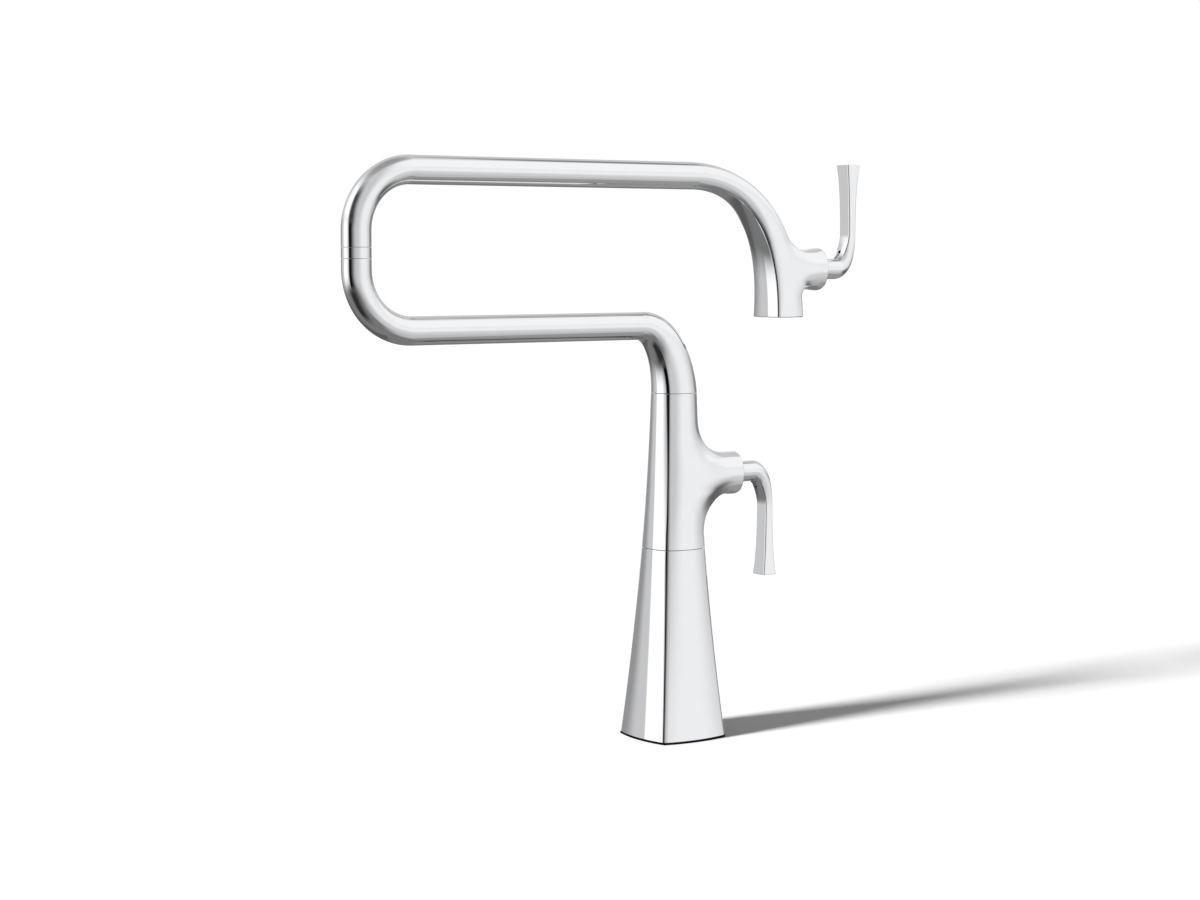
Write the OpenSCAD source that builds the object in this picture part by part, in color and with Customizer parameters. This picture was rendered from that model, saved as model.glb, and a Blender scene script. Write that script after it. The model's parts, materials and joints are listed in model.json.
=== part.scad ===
// Deck mount pot filler: a flared four-sided column, two tube arms that swivel,
// and two quarter-turn valves, one in the column and one in the spout.
// Millimetres. +Z is up, the arms fold along -X, the valve hubs point to +X,
// and the origin is the centre of the deck seat, on the column's axis.

/* [Column] */
// Half the spacing of the base's corner creases
base_half = 29.85; // [26:0.05:34]
// Half the spacing of the column's corner creases at its top
neck_half = 13.05; // [12:0.05:14]
// How far each of the four sides bows out at its middle
side_bow = 4.4; // [3:0.1:5]
// Part of the flare that is straight; the rest is a parabola
flare_share = 0.4; // [0.2:0.05:0.8]
// Height of the seam between the base cover and the column body
cover_top_z = 149; // [140:0.5:155]
// Height of the seam under the lower arm
neck_z = 270; // [262:0.5:280]
// Wall of the base cover
cover_wall = 2.5; // [1.5:0.1:3]
// Thickness of the gasket on the deck
gasket_t = 1.6; // [1:0.1:3]

/* [Arms] */
// Outside diameter of both arm tubes
tube_d = 22.2; // [21.5:0.1:23]
// Wall of both arm tubes
tube_wall = 2; // [1.5:0.1:2.4]
// From the column's axis to the elbow's axis
lower_reach = 279.5; // [240:0.5:320]
// From the elbow's axis to the spout's axis
upper_reach = 383.8; // [360:0.5:420]
// Height of the lower arm's axis
lower_arm_z = 322.8; // [320:0.1:326]
// Height of the upper arm's axis
upper_arm_z = 438.5; // [434:0.5:444]
// Bend radius of both tubes at the elbow, on the axis
elbow_bend_r = 44; // [40:0.5:47]
// Height of the swivel collar in the elbow
collar_h = 8; // [6:0.1:9]

/* [Valves] */
// Height of the lower valve's axis
lower_valve_z = 205.2; // [202:0.1:208]
// From the column's axis to the end of its hub
lower_hub_reach = 57.2; // [54:0.1:60]
// Height of the upper valve's axis
upper_valve_z = 365.6; // [364:0.1:368]
// From the spout's axis to the end of its hub
upper_hub_reach = 37.7; // [36:0.1:40]
// Half the spacing of a hub's creases
hub_half = 13.2; // [12.8:0.1:13.6]
// How far a hub's sides bow out
hub_bow = 4.5; // [4:0.1:5]
// Radius of the creases that sweep from the column onto its hub
lower_sweep_r = 31; // [27:0.5:33]
// Radius of the crease that sweeps from the spout onto the top of its hub
upper_sweep_r = 26; // [20:0.5:30]
// Radius of the crease under the spout's hub
under_sweep_r = 9; // [7:0.5:11]

/* [Levers] */
// Radius of the round stem where a lever leaves its hub
lever_stem_r = 8.5; // [8:0.1:8.8]
// From the hub's end to the lever blade's axis
lever_reach = 34.3; // [32:0.1:37]
// From the valve's axis to the blade's end
lever_drop = 84.4; // [78:0.1:92]
// Half thickness of the blade at its thinnest
blade_half_x = 3.35; // [3:0.05:4]
// Half width of the blade at its thinnest
blade_half_y = 6.25; // [5.5:0.05:7]
// Half thickness of the blade at its end
blade_end_x = 6.3; // [5:0.05:7]
// Half width of the blade at its end
blade_end_y = 7.5; // [7:0.05:9]
// Bow of the blade's faces
blade_bow = 0.4; // [0.2:0.05:0.8]

/* [Spout] */
// Height of the outlet
outlet_z = 327.3; // [322:0.1:330]
// Half the outlet's crease spacing along the arm
outlet_half_x = 12.9; // [12.4:0.05:13.5]
// Half the outlet's crease spacing across the arm
outlet_half_y = 16.7; // [15.5:0.05:17.5]
// Bow of the outlet's four sides
outlet_bow = 2; // [1.5:0.1:2.5]
// Where the bend starts, past the column's axis
spout_start_x = 15; // [10:0.5:20]
// Radius of the aerator's thread
aerator_r = 10.4; // [9.8:0.1:10.8]

/* [Deck fixing] */
// Radius of the threaded shank
shank_r = 14; // [13:0.1:14.5]
// How far the shank reaches below the deck's top
shank_drop = 62; // [56:1:70]
// Thickness of the deck that it is clamped to here
deck_t = 30; // [20:1:34]
// Outside radius of the washers under the deck
washer_r = 27.5; // [24:0.5:32]
// Height of the mounting nut
nut_h = 12; // [10:0.5:14]
// Radius of the half-inch inlet thread
inlet_r = 10.45; // [10.3:0.05:10.5]
// Length of the inlet thread
inlet_l = 14; // [12:0.5:16]

/* [Hidden] */

// Colours
chrome = [0.80, 0.81, 0.82];
brass = [0.78, 0.62, 0.32];
steel = [0.62, 0.63, 0.65];
rubber = [0.07, 0.07, 0.08];
ceramic = [0.93, 0.92, 0.88];
ptfe = [0.90, 0.90, 0.86];
plastic = [0.24, 0.25, 0.27];

// Overrun of every cut, and the gaps that the pieces share
over = 1;
run_gap = 0.06;
loose_gap = 0.3;
seam_gap = 0.25;
glide_t = 0.4;
seal_squeeze_gap = 0.05;
// How far a faceted form stays inside the round one that it runs into
joint_step = 0.05;

// Counts
side_steps = 6;
face_steps = 10;
tube_fn = 96;

tube_r = tube_d / 2;
tube_bore = tube_r - tube_wall;
tube_half = (tube_r - joint_step) * sqrt(1 / 2);
tube_bow = tube_r - joint_step - tube_half;
spout_x = upper_reach - lower_reach;

function smooth(t) = let (c = min(1, max(0, t))) c * c * (3 - 2 * c);
function mix(a, b, t) = a + (b - a) * t;
function ease(a, m, b, t) = a * (1 - t) * (1 - t) + 2 * m * t * (1 - t) + b * t * t;
function unit(v) = v / norm(v);

// A cubic through plane points p[0] and p[3] with handles p[1] and p[2]
function curve(p, t) = let (s = 1 - t)
    s * s * s * p[0] + 3 * s * s * t * p[1] + 3 * s * t * t * p[2] + t * t * t * p[3];
function heading(p, t) = let (s = 1 - t)
    unit(s * s * (p[1] - p[0]) + 2 * s * t * (p[2] - p[1]) + t * t * (p[3] - p[2]));

// How far a bowed side stands out where its fullness is f: 0 at a crease, 1 mid-side
function bow_out(half, bow, f) = let (r = (half * half + bow * bow) / (2 * bow))
    sqrt(r * r - half * half * (1 - f)) - (r - bow);

// One side's points, from one crease up to but not onto the next
function side(half, bow, steps) =
    [for (i = [0 : steps - 1]) let (t = 2 * i / steps - 1) [t * half, bow_out(half, bow, 1 - t * t)]];

// A four-sided ring: half widths across and deep, and the bows of those faces
function ring(half_w, half_y, bow_w, bow_y, steps) = concat(
    [for (p = side(half_w, bow_y, steps)) [p[0], -half_y - p[1]]],
    [for (p = side(half_y, bow_w, steps)) [half_w + p[1], p[0]]],
    [for (p = side(half_w, bow_y, steps)) [-p[0], half_y + p[1]]],
    [for (p = side(half_y, bow_w, steps)) [-half_w - p[1], -p[0]]]);

// A ring set at a point of the XZ plane, its width along the direction out
function placed(at, out, points) =
    [for (p = points) [at[0] + out[0] * p[0], p[1], at[1] + out[1] * p[0]]];

// Skin over rings of equal length, closed by a flat cap at each end
module skin(rings) {
    n = len(rings[0]);
    last = len(rings) - 1;
    walls = [for (k = [0 : last - 1]) for (i = [0 : n - 1])
        let (j = (i + 1) % n, a = k * n)
        for (f = [[a + i, a + n + i, a + j], [a + j, a + n + i, a + n + j]]) f];
    caps = [[for (i = [0 : n - 1]) i], [for (i = [n - 1 : -1 : 0]) last * n + i]];
    polyhedron([for (r = rings) for (p = r) p], concat(walls, caps));
}

// Plain round pieces along Z and along X
module rod(r, z0, z1) {
    translate([0, 0, z0]) cylinder(r = r, h = z1 - z0, $fn = tube_fn);
}
module pipe(r, bore, z0, z1) {
    difference() {
        rod(r, z0, z1);
        rod(bore, z0 - over, z1 + over);
    }
}
module rod_x(r, x0, x1) {
    translate([x0, 0, 0]) rotate([0, 90, 0]) cylinder(r = r, h = x1 - x0, $fn = tube_fn);
}
module pipe_x(r, bore, x0, x1) {
    difference() {
        rod_x(r, x0, x1);
        rod_x(bore, x0 - over, x1 + over);
    }
}
// A straight drilling between two points of the XZ plane
module drilling(r, from, to) {
    d = to - from;
    translate([from[0], 0, from[1]])
        rotate([0, atan2(d[0], d[1]), 0])
        cylinder(r = r, h = norm(d), $fn = tube_fn);
}

// Column section
function column_half(z) = let (t = (neck_z - z) / neck_z)
    mix(neck_half, base_half, t * (flare_share + (1 - flare_share) * t));
function column_ring(z, shrink, steps) =
    placed([0, z], [1, 0], ring(column_half(z) - shrink, column_half(z) - shrink,
        side_bow, side_bow, steps));
function steps_between(a, b, n) = [for (i = [0 : n]) mix(a, b, i / n)];

// Body of a valve, shared by the column and the spout. A leg is a list of
// [point, out, half_w, half_y, bow_w, bow_y] from its foot to its top, and the
// hub leaves it on its outer side. A body is given as
// [hub end x, valve z, lower sweep radius, upper sweep radius].
leg_steps = 8;
sweep_steps = 7;
rim_steps = 8;
tiny = 0.0001;

function column_leg(t) = let (z = mix(cover_top_z, neck_z, t), h = column_half(z))
    [[0, z], [1, 0], h, h, side_bow, side_bow];

// The spout's axis runs from the outlet up and over to the tube, as one cubic
outlet_pull_share = 0.8094;
tube_pull_share = 0.4479;
outlet_pull = outlet_pull_share * (upper_arm_z - outlet_z);
tube_pull = tube_pull_share * (spout_x - spout_start_x);
spout_axis = [[spout_x, outlet_z], [spout_x, outlet_z + outlet_pull],
    [spout_start_x + tube_pull, upper_arm_z], [spout_start_x, upper_arm_z]];
waist_half_x = 7;
waist_half_y = 10.8;
waist_bow = 2.5;
function spout_leg(t) = let (d = heading(spout_axis, t), s = 1 - t)
    [curve(spout_axis, t), [d[1], -d[0]],
        ease(tube_half, waist_half_x, outlet_half_x, s), ease(tube_half, waist_half_y, outlet_half_y, s),
        ease(tube_bow, waist_bow, outlet_bow, s), ease(tube_bow, waist_bow, outlet_bow, s)];

function leg(kind, t) = kind == "column" ? column_leg(t) : spout_leg(t);
function crease(l, side) = l[0] + side * l[2] * l[1];

// Where along the leg a sweep of radius r starts, so that its centre is at height z
function sweep_start(kind, r, z, lo = 0, hi = 1, n = 24) =
    let (m = (lo + hi) / 2, l = leg(kind, m), c = crease(l, 1) + r * l[1])
    n == 0 ? m : c[1] < z ? sweep_start(kind, r, z, m, hi, n - 1) : sweep_start(kind, r, z, lo, m, n - 1);

// Distance from a point to a row of points
function to_segment(p, a, b) = let (d = b - a, k = max(0, min(1, (p - a) * d / max(d * d, tiny))))
    norm(p - a - k * d);
function to_path(p, path) = min([for (i = [0 : len(path) - 2]) to_segment(p, path[i], path[i + 1])]);

// Outline of a body's front face on its outer side, as rows of
// [point, outward direction, t on the inner crease, on the rim or not]
function body_rows(kind, body) =
    let (
        end_x = body[0], z = body[1], r0 = body[2], r1 = body[3],
        t0 = sweep_start(kind, r0, z - hub_half - r0),
        t1 = sweep_start(kind, r1, z + hub_half + r1),
        l0 = leg(kind, t0), l1 = leg(kind, t1),
        c0 = crease(l0, 1) + r0 * l0[1], c1 = crease(l1, 1) + r1 * l1[1],
        a0 = 180 + atan2(l0[1][1], l0[1][0]),
        a1 = 180 + atan2(l1[1][1], l1[1][0]),
        foot = [for (t = steps_between(0, t0, leg_steps)) let (l = leg(kind, t)) [crease(l, 1), l[1], 0]],
        under = [for (a = steps_between(a0, 90, sweep_steps))
            [c0 + r0 * [cos(a), sin(a)], -[cos(a), sin(a)], 0]],
        low = [[[end_x, z - hub_half], [0, -1], 0]],
        rim = [for (s = steps_between(-1, 1, rim_steps))
            let (zr = s * (1 - tiny)) [[end_x, z + zr * hub_half], [1, 0], 1]],
        high = [[[end_x, z + hub_half], [0, 1], 0]],
        above = [for (a = steps_between(270, a1, sweep_steps))
            [c1 + r1 * [cos(a), sin(a)], -[cos(a), sin(a)], 0]],
        top = [for (t = steps_between(t1, 1, leg_steps)) let (l = leg(kind, t)) [crease(l, 1), l[1], 0]],
        mid = concat([for (i = [1 : sweep_steps]) under[i]], low, rim, high,
            [for (i = [0 : sweep_steps - 1]) above[i]]),
        joined = concat([foot[leg_steps]], mid, [top[0]]),
        far = [for (i = 0, s = 0; i < len(joined); s = s + norm(joined[min(i + 1, len(joined) - 1)][0]
            - joined[i][0]), i = i + 1) s],
        total = far[len(far) - 1]
    )
    concat(
        [for (i = [0 : leg_steps]) [foot[i][0], foot[i][1], t0 * i / leg_steps, 0]],
        [for (i = [0 : len(mid) - 1]) [mid[i][0], mid[i][1], mix(t0, t1, far[i + 1] / total), mid[i][2]]],
        [for (i = [0 : leg_steps]) [top[i][0], top[i][1], mix(t1, 1, i / leg_steps), 0]]);

// One ring of a valve body, through row r
function body_ring(kind, body, row, low_path, high_path, hub_t) =
    let (
        l = leg(kind, row[2]), a = crease(l, -1), q = row[0],
        clear = body[0] - l[0][0] - l[2],
        points = [for (i = [0 : face_steps]) let (
            p = mix(a, q, i / face_steps),
            m = smooth((p[0] - l[0][0] - l[2]) / clear),
            w0 = smooth((1 - row[2]) / (1 - hub_t)),
            w1 = smooth(row[2] / hub_t),
            wl = 1 - smooth((p[0] - l[0][0]) / (body[0] - l[0][0])),
            dl = max(norm(p - a), tiny),
            d0 = max(to_path(p, low_path), tiny),
            d1 = max(to_path(p, high_path), tiny),
            al = wl / dl, b0 = w0 / d0, b1 = w1 / d1, sum = al + b0 + b1,
            f = 2 * (1 - (al * al + b0 * b0 + b1 * b1) / (sum * sum)),
            depth = mix(l[3], hub_half, m)
                + bow_out(mix(l[2], hub_half, m), mix(l[5], hub_bow, m), i == 0 ? 0 : f))
            [p[0], -depth, p[1]]],
        m_q = smooth((q[0] - l[0][0] - l[2]) / clear),
        y_a = -points[0][1], y_q = -points[face_steps][1],
        bow_q = mix(l[4], hub_bow, m_q),
        right = [for (i = [1 : side_steps - 1]) let (t = 2 * i / side_steps - 1,
            o = row[3] == 1 ? 0 : bow_out(y_q, bow_q, 1 - t * t))
            [q[0] + row[1][0] * o, t * y_q, q[1] + row[1][1] * o]],
        left = [for (i = [1 : side_steps - 1]) let (t = 1 - 2 * i / side_steps,
            o = bow_out(y_a, l[4], 1 - t * t))
            [a[0] - l[1][0] * o, t * y_a, a[1] - l[1][1] * o]],
        back = [for (i = [face_steps : -1 : 0]) [points[i][0], -points[i][1], points[i][2]]]
    )
    concat(points, right, back, left);

module valve_body(kind, body) {
    rows = body_rows(kind, body);
    low_end = leg_steps + sweep_steps + 1;
    high_start = low_end + rim_steps + 2;
    low_path = [for (i = [0 : low_end]) rows[i][0]];
    high_path = [for (i = [high_start : len(rows) - 1]) rows[i][0]];
    hub_t = rows[round((low_end + high_start) / 2)][2];
    skin([for (r = rows) body_ring(kind, body, r, low_path, high_path, hub_t)]);
}

// Valve: every place is an inward distance from the hub's end, so -X
chamber_l = 38;
bonnet_l = 8;
bonnet_r = 12.8;
bonnet_recess = 0.6;
cartridge_r = 11.4;
cartridge_cavity_r = 8;
cartridge_front = 4;
spindle_r = 4.5;
spindle_out = 17;
disc_t = 3;
disc_gap = 0.02;
seat_seal_t = 4;
seat_port_r = 4.5;
window_l = 8;
window_w = 9;
spindle_groove_r = 3;
spindle_groove_l = 2.4;
drive_tab_w = 4;
drive_tab_l = 1.4;
drive_gap = 0.1;
flange_r = cartridge_cavity_r - drive_gap * 3;
seal_in = chamber_l - seat_seal_t;
fixed_in = seal_in - disc_t;
moving_in = fixed_in - disc_gap - disc_t;
cartridge_back_gap = 2;
cartridge_l = chamber_l - bonnet_l - cartridge_back_gap;
groove_in = bonnet_l + cartridge_front / 2 + spindle_groove_l / 2;
cartridge_gap = 0.1;
lever_bore_gap = 0.3;

lower_hub = [lower_hub_reach, lower_valve_z];
upper_hub = [spout_x + upper_hub_reach, upper_valve_z];

module at_hub(hub) {
    translate([hub[0], 0, hub[1]]) children();
}

module valve_chamber() {
    rod_x(bonnet_r, -bonnet_l, over);
    rod_x(cartridge_r + cartridge_gap, -chamber_l, -bonnet_l + over);
}

module cartridge() {
    color(brass) difference() {
        rod_x(cartridge_r, -bonnet_l - cartridge_l, -bonnet_l);
        rod_x(cartridge_cavity_r, -chamber_l - over, -bonnet_l - cartridge_front);
        rod_x(spindle_r + run_gap, -chamber_l - over, over);
        translate([-moving_in + disc_gap, -window_w / 2, -cartridge_r - over])
            cube([window_l, window_w, 2 * (cartridge_r + over)]);
    }
}

module fixed_disc() {
    color(ceramic) difference() {
        rod_x(cartridge_cavity_r, -seal_in, -fixed_in);
        for (s = [-1, 1]) translate([0, s * cartridge_cavity_r / 2, 0])
            rod_x(cartridge_cavity_r / 4, -seal_in - over, -fixed_in + over);
    }
}

// The spindle's tab, or with a gap the slot that it drives
module drive_tab(gap) {
    translate([-moving_in - drive_tab_l - gap, -drive_tab_w / 2 - gap, -flange_r / 4 - gap])
        cube([drive_tab_l + gap + over, drive_tab_w + 2 * gap, flange_r / 2 + 2 * gap]);
}

module moving_disc() {
    color(ceramic) difference() {
        rod_x(flange_r, -moving_in - disc_t, -moving_in);
        for (s = [-1, 1]) translate([0, 0, s * cartridge_cavity_r / 2])
            rod_x(cartridge_cavity_r / 4, -moving_in - disc_t - over, -moving_in + over);
        drive_tab(drive_gap);
    }
}

module seat_seal() {
    color(rubber) pipe_x(cartridge_cavity_r, seat_port_r, -chamber_l, -seal_in);
}

module bonnet_nut() {
    color(brass) difference() {
        rod_x(bonnet_r, -bonnet_l, -bonnet_recess);
        rod_x(lever_stem_r + lever_bore_gap, -bonnet_l - over, over);
        for (s = [0, 1]) rotate([s * 90, 0, 0])
            translate([-bonnet_recess - bonnet_l / 3, -spindle_groove_l / 2, -bonnet_r - over])
            cube([bonnet_l, spindle_groove_l, 2 * (bonnet_r + over)]);
    }
}

module spindle() {
    color(brass) difference() {
        union() {
            rod_x(spindle_r, -moving_in, spindle_out);
            rod_x(flange_r, -moving_in, -moving_in + disc_t);
            drive_tab(0);
        }
        translate([-groove_in, 0, 0]) pipe_x(spindle_r + over, spindle_groove_r, 0, spindle_groove_l);
    }
}

module spindle_seal() {
    color(rubber) translate([-groove_in, 0, 0])
        pipe_x(spindle_r + run_gap / 2, spindle_groove_r, run_gap, spindle_groove_l - run_gap);
}

// Lever: a round stem that bends down and flattens into a flared blade
stem_half = (lever_stem_r - joint_step) * sqrt(1 / 2);
stem_bow = lever_stem_r - joint_step - stem_half;
stem_back_gap = 1.2;
stem_in = bonnet_l - stem_back_gap;
bend_out_share = 0.55;
bend_drop_share = 0.34;
stem_pull_share = 0.34;
blade_pull_share = 0.10;
flare_power = 3.6;
lever_steps = 9;
blade_steps = 10;
lever_side_steps = 5;
bend_from = [lever_reach * bend_out_share, 0];
bend_to = [lever_reach, -lever_drop * bend_drop_share];
lever_axis = [bend_from, bend_from + [lever_reach * stem_pull_share, 0],
    bend_to + [0, lever_drop * blade_pull_share], bend_to];

function lever_ring(at, out, m, v) = placed(at, out, ring(
    mix(stem_half, blade_half_x, m) + (blade_end_x - blade_half_x) * v,
    mix(stem_half, blade_half_y, m) + (blade_end_y - blade_half_y) * v,
    mix(stem_bow, blade_bow, m), mix(stem_bow, blade_bow, m), lever_side_steps));

// How far the flare has come at a share of the way from mid-bend to the end
blade_l = lever_drop * (1 - bend_drop_share);
bend_arc_share = 1.12;
bend_l = norm(bend_to - bend_from) * bend_arc_share;
function flare_at(s) = pow(max(0, (s - bend_l / 2) / (bend_l / 2 + blade_l)), flare_power);

module lever_form() {
    rod_x(lever_stem_r, -stem_in, bend_from[0] + seam_gap);
    skin(concat(
        [for (i = [0 : lever_steps]) let (t = i / lever_steps, d = heading(lever_axis, t))
            lever_ring(curve(lever_axis, t), [d[1], -d[0]], smooth(t), flare_at(t * bend_l))],
        [for (i = [1 : blade_steps]) let (s = i / blade_steps)
            lever_ring(bend_to - [0, blade_l * s], [-1, 0], 1, flare_at(bend_l + s * blade_l))]));
}

// The grub screw lies at 45 degrees inside the bend and bears on the spindle
grub_r = 2.5;
grub_l = 7;
grub_at = 14.8;
grub_tilt = 45;
grub_key_r = 1.45;
grub_from = (spindle_r + seal_squeeze_gap) / sin(grub_tilt);
module at_grub() {
    translate([grub_at, 0, 0]) rotate([0, 180 - grub_tilt, 0]) children();
}

module lever() {
    color(chrome) difference() {
        lever_form();
        rod_x(spindle_r, -stem_in - over, spindle_out);
        at_grub() rod(grub_r, 0, lever_stem_r * 4);
    }
}

module lever_screw() {
    color(steel) at_grub() difference() {
        rod(grub_r, grub_from + grub_r, grub_from + grub_r + grub_l);
        translate([0, 0, grub_from + grub_r + grub_l / 2]) cylinder(r = grub_key_r, h = grub_l, $fn = 6);
    }
}

module handle_at(hub, up) {
    at_hub(hub) mirror([0, 0, up ? 1 : 0]) children();
}

// Deck fixing and riser
plate_t = 6;
plate_half = column_half(gasket_t + plate_t) - cover_wall - loose_gap;
shank_wall = 3.4;
shank_bore = shank_r - shank_wall;
gasket_hole_gap = 2;
gasket_hole_r = shank_r + gasket_hole_gap;
riser_r = 8;
riser_wall = 2;
riser_into_column = 31;
riser_top_z = cover_top_z + riser_into_column;
riser_socket_gap = 0.1;
nipple_drop = 14;
nipple_z = -shank_drop - nipple_drop;
collar_in = 8;
washer_t = 3;
clamp_t = 2.5;
nut_r = 25;
nut_screw_r = 2.5;
nut_screw_head_r = 4;
nut_screw_head_h = 4;
nut_screw_count = 3;
nut_screw_ring = (shank_r + nut_r) / 2;
washer_gap = 0.6;
thread_pitch = 2;
thread_depth = 0.6;
thread_flat_share = 0.3;
thread_end = 12;
nut_top_z = -deck_t - washer_t - clamp_t;

module plate_shape(half, bow, t) {
    linear_extrude(t) polygon(ring(half, half, bow, bow, side_steps * 2));
}

module base_gasket() {
    color(rubber) difference() {
        plate_shape(column_half(0) - seam_gap, side_bow, gasket_t);
        rod(gasket_hole_r, -over, gasket_t + over);
    }
}

module base_plate() {
    color(steel) difference() {
        translate([0, 0, gasket_t]) plate_shape(plate_half, side_bow, plate_t);
        rod(shank_r, -over, gasket_t + plate_t + over);
    }
}

// The column body stands in a round socket at the cover's top
socket_r = 14;
socket_h = 8;
cover_steps = 9;
module base_cover() {
    inside_top = cover_top_z - socket_h - cover_wall;
    color(chrome) difference() {
        skin([for (z = steps_between(gasket_t, cover_top_z - seam_gap, cover_steps))
            column_ring(z, 0, side_steps)]);
        skin([for (z = steps_between(gasket_t - over, inside_top, cover_steps))
            column_ring(z, cover_wall, side_steps)]);
        rod(socket_r, inside_top - over, cover_top_z + over);
    }
}

module mounting_shank() {
    top = gasket_t + plate_t;
    grooves = floor((shank_drop - thread_end) / thread_pitch);
    flat = thread_pitch * thread_flat_share;
    slope = (thread_pitch - flat) / 2;
    color(brass) rotate_extrude($fn = tube_fn) polygon(concat(
        [[shank_bore, -shank_drop], [shank_r, -shank_drop]],
        [for (i = [0 : grooves - 1]) let (z = -shank_drop + thread_end + i * thread_pitch)
            for (p = [[shank_r, z], [shank_r - thread_depth, z + slope], [shank_r, z + 2 * slope]]) p],
        [[shank_r, top], [shank_bore, top]]));
}

module under_deck_washer() {
    color(rubber) pipe(washer_r, shank_r + washer_gap, -deck_t - washer_t, -deck_t);
}

module clamp_washer() {
    color(steel) pipe(washer_r, shank_r + washer_gap, nut_top_z, -deck_t - washer_t);
}

module on_nut_ring() {
    for (i = [0 : nut_screw_count - 1]) rotate([0, 0, i * 360 / nut_screw_count])
        translate([nut_screw_ring, 0, 0]) children();
}

module mounting_nut() {
    color(brass) difference() {
        rod(nut_r, nut_top_z - nut_h, nut_top_z - loose_gap);
        rod(shank_r, nut_top_z - nut_h - over, nut_top_z + over);
        on_nut_ring() rod(nut_screw_r, nut_top_z - nut_h - over, nut_top_z + over);
    }
}

module nut_screws() {
    color(steel) on_nut_ring() difference() {
        union() {
            rod(nut_screw_r, nut_top_z - nut_h, nut_top_z);
            rod(nut_screw_head_r, nut_top_z - nut_h - nut_screw_head_h, nut_top_z - nut_h);
        }
        translate([0, 0, nut_top_z - nut_h - nut_screw_head_h - over])
            cylinder(r = nut_screw_r, h = nut_screw_head_h / 2 + over, $fn = 6);
    }
}

// The riser's top end carries two rings and stops under the column's inlet passage
seal_t = 2;
seal_depth = 1.4;
riser_seal_step = 6;
riser_seal_zs = [riser_top_z - riser_seal_step, riser_top_z - 2 * riser_seal_step];
module seal_grooves(r, zs) {
    for (z = zs) pipe(r + over, r - seal_depth, z, z + seal_t);
}
module seal_rings(r, zs, gap) {
    color(rubber) for (z = zs) pipe(r + gap, r - seal_depth, z + run_gap, z + seal_t - run_gap);
}

module riser_tube() {
    color(brass) difference() {
        union() {
            rod(riser_r, nipple_z - over, riser_top_z);
            rod(inlet_r, nipple_z - inlet_l, nipple_z);
            rod(shank_bore, gasket_t + plate_t - collar_in, gasket_t + plate_t);
        }
        rod(riser_r - riser_wall, nipple_z - inlet_l - over, riser_top_z + over);
        seal_grooves(riser_r, riser_seal_zs);
    }
}

module riser_seals() {
    seal_rings(riser_r, riser_seal_zs, riser_socket_gap / 2);
}

// Column: a casting with the riser's socket, the valve chamber and the neck bore
passage_r = 5;
out_passage_r = 3.6;
neck_bore = 9;
neck_bore_l = 14;
plenum_l = 18;
module column_body() {
    color(chrome) difference() {
        union() {
            valve_body("column", [lower_hub_reach, lower_valve_z, lower_sweep_r, lower_sweep_r]);
            rod(socket_r, cover_top_z - socket_h, cover_top_z + over);
        }
        rod(riser_r + riser_socket_gap, cover_top_z - socket_h - over, riser_top_z);
        rod(passage_r, riser_top_z - over, lower_valve_z);
        drilling(passage_r, [0, lower_valve_z], [lower_hub_reach - chamber_l + over, lower_valve_z]);
        at_hub(lower_hub) valve_chamber();
        rod(neck_bore, neck_z - neck_bore_l - plenum_l, neck_z + over);
        drilling(out_passage_r,
            [lower_hub_reach - moving_in + window_l / 2, lower_valve_z + cartridge_r - over],
            [neck_bore / 2, neck_z - neck_bore_l - plenum_l / 2]);
    }
}

// Swivel between column and lower arm
spigot_r = neck_bore;
spigot_wall = 2.5;
spigot_up = 21;
socket_wall = 2.6;
clip_t = 1.2;
clip_bite = 0.8;
clip_gap = 0.1;
clip_slot = 60;
neck_seal_up = 4;
neck_seal_step = 4.5;
neck_clip_up = 14;
neck_seal_zs = [neck_z + neck_seal_up, neck_z + neck_seal_up + neck_seal_step];
neck_clip_z = neck_z + neck_clip_up;

module spigot(r, bore, z0, z1, seal_zs, clip_z) {
    difference() {
        pipe(r, bore, z0, z1);
        seal_grooves(r, seal_zs);
        pipe(r + over, r - clip_bite, clip_z - clip_gap, clip_z + clip_t + clip_gap);
    }
}

module socket(r, wall, z0, z1, clip_z) {
    difference() {
        pipe(r + run_gap + wall, r + run_gap, z0, z1);
        rod(r + run_gap + clip_bite, clip_z - clip_gap, clip_z + clip_t + clip_gap);
    }
}

module clip(r, clip_z) {
    difference() {
        pipe(r + clip_bite - clip_gap, r - clip_bite + clip_gap, clip_z, clip_z + clip_t);
        translate([0, 0, clip_z - over]) rotate([0, 0, -clip_slot / 2])
            cube([r * 2, r * sin(clip_slot), clip_t + 2 * over]);
    }
}

module column_spigot() {
    color(brass) spigot(spigot_r, spigot_r - spigot_wall, neck_z - neck_bore_l, neck_z + spigot_up,
        neck_seal_zs, neck_clip_z);
}
module column_spigot_seals() {
    seal_rings(spigot_r, neck_seal_zs, run_gap / 2);
}
module column_socket() {
    color(brass) socket(spigot_r, socket_wall, neck_z + glide_t, neck_z + spigot_up, neck_clip_z);
}
module column_retainer() {
    color(steel) clip(spigot_r, neck_clip_z);
}
module column_glide_ring() {
    color(ptfe) pipe(spigot_r + socket_wall, spigot_r + loose_gap, neck_z, neck_z + glide_t);
}

// Lower arm: the section of the column's neck turns into the round tube over one bend
neck_pull = 7.5;
arm_pull_share = 0.885;
neck_run = 35;
neck_steps = 12;
neck_mid_half = 12.6;
arm_bend_z = neck_z + glide_t;
neck_axis = [[0, arm_bend_z], [0, arm_bend_z + neck_pull],
    [-neck_run * (1 - arm_pull_share), lower_arm_z], [-neck_run, lower_arm_z]];
function neck_ring(t) = let (d = heading(neck_axis, t))
    placed(curve(neck_axis, t), [d[1], -d[0]], ring(
        ease(neck_half, neck_mid_half, tube_half, t), ease(neck_half, neck_mid_half, tube_half, t),
        ease(side_bow, side_bow, tube_bow, t), ease(side_bow, side_bow, tube_bow, t), side_steps));

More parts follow.
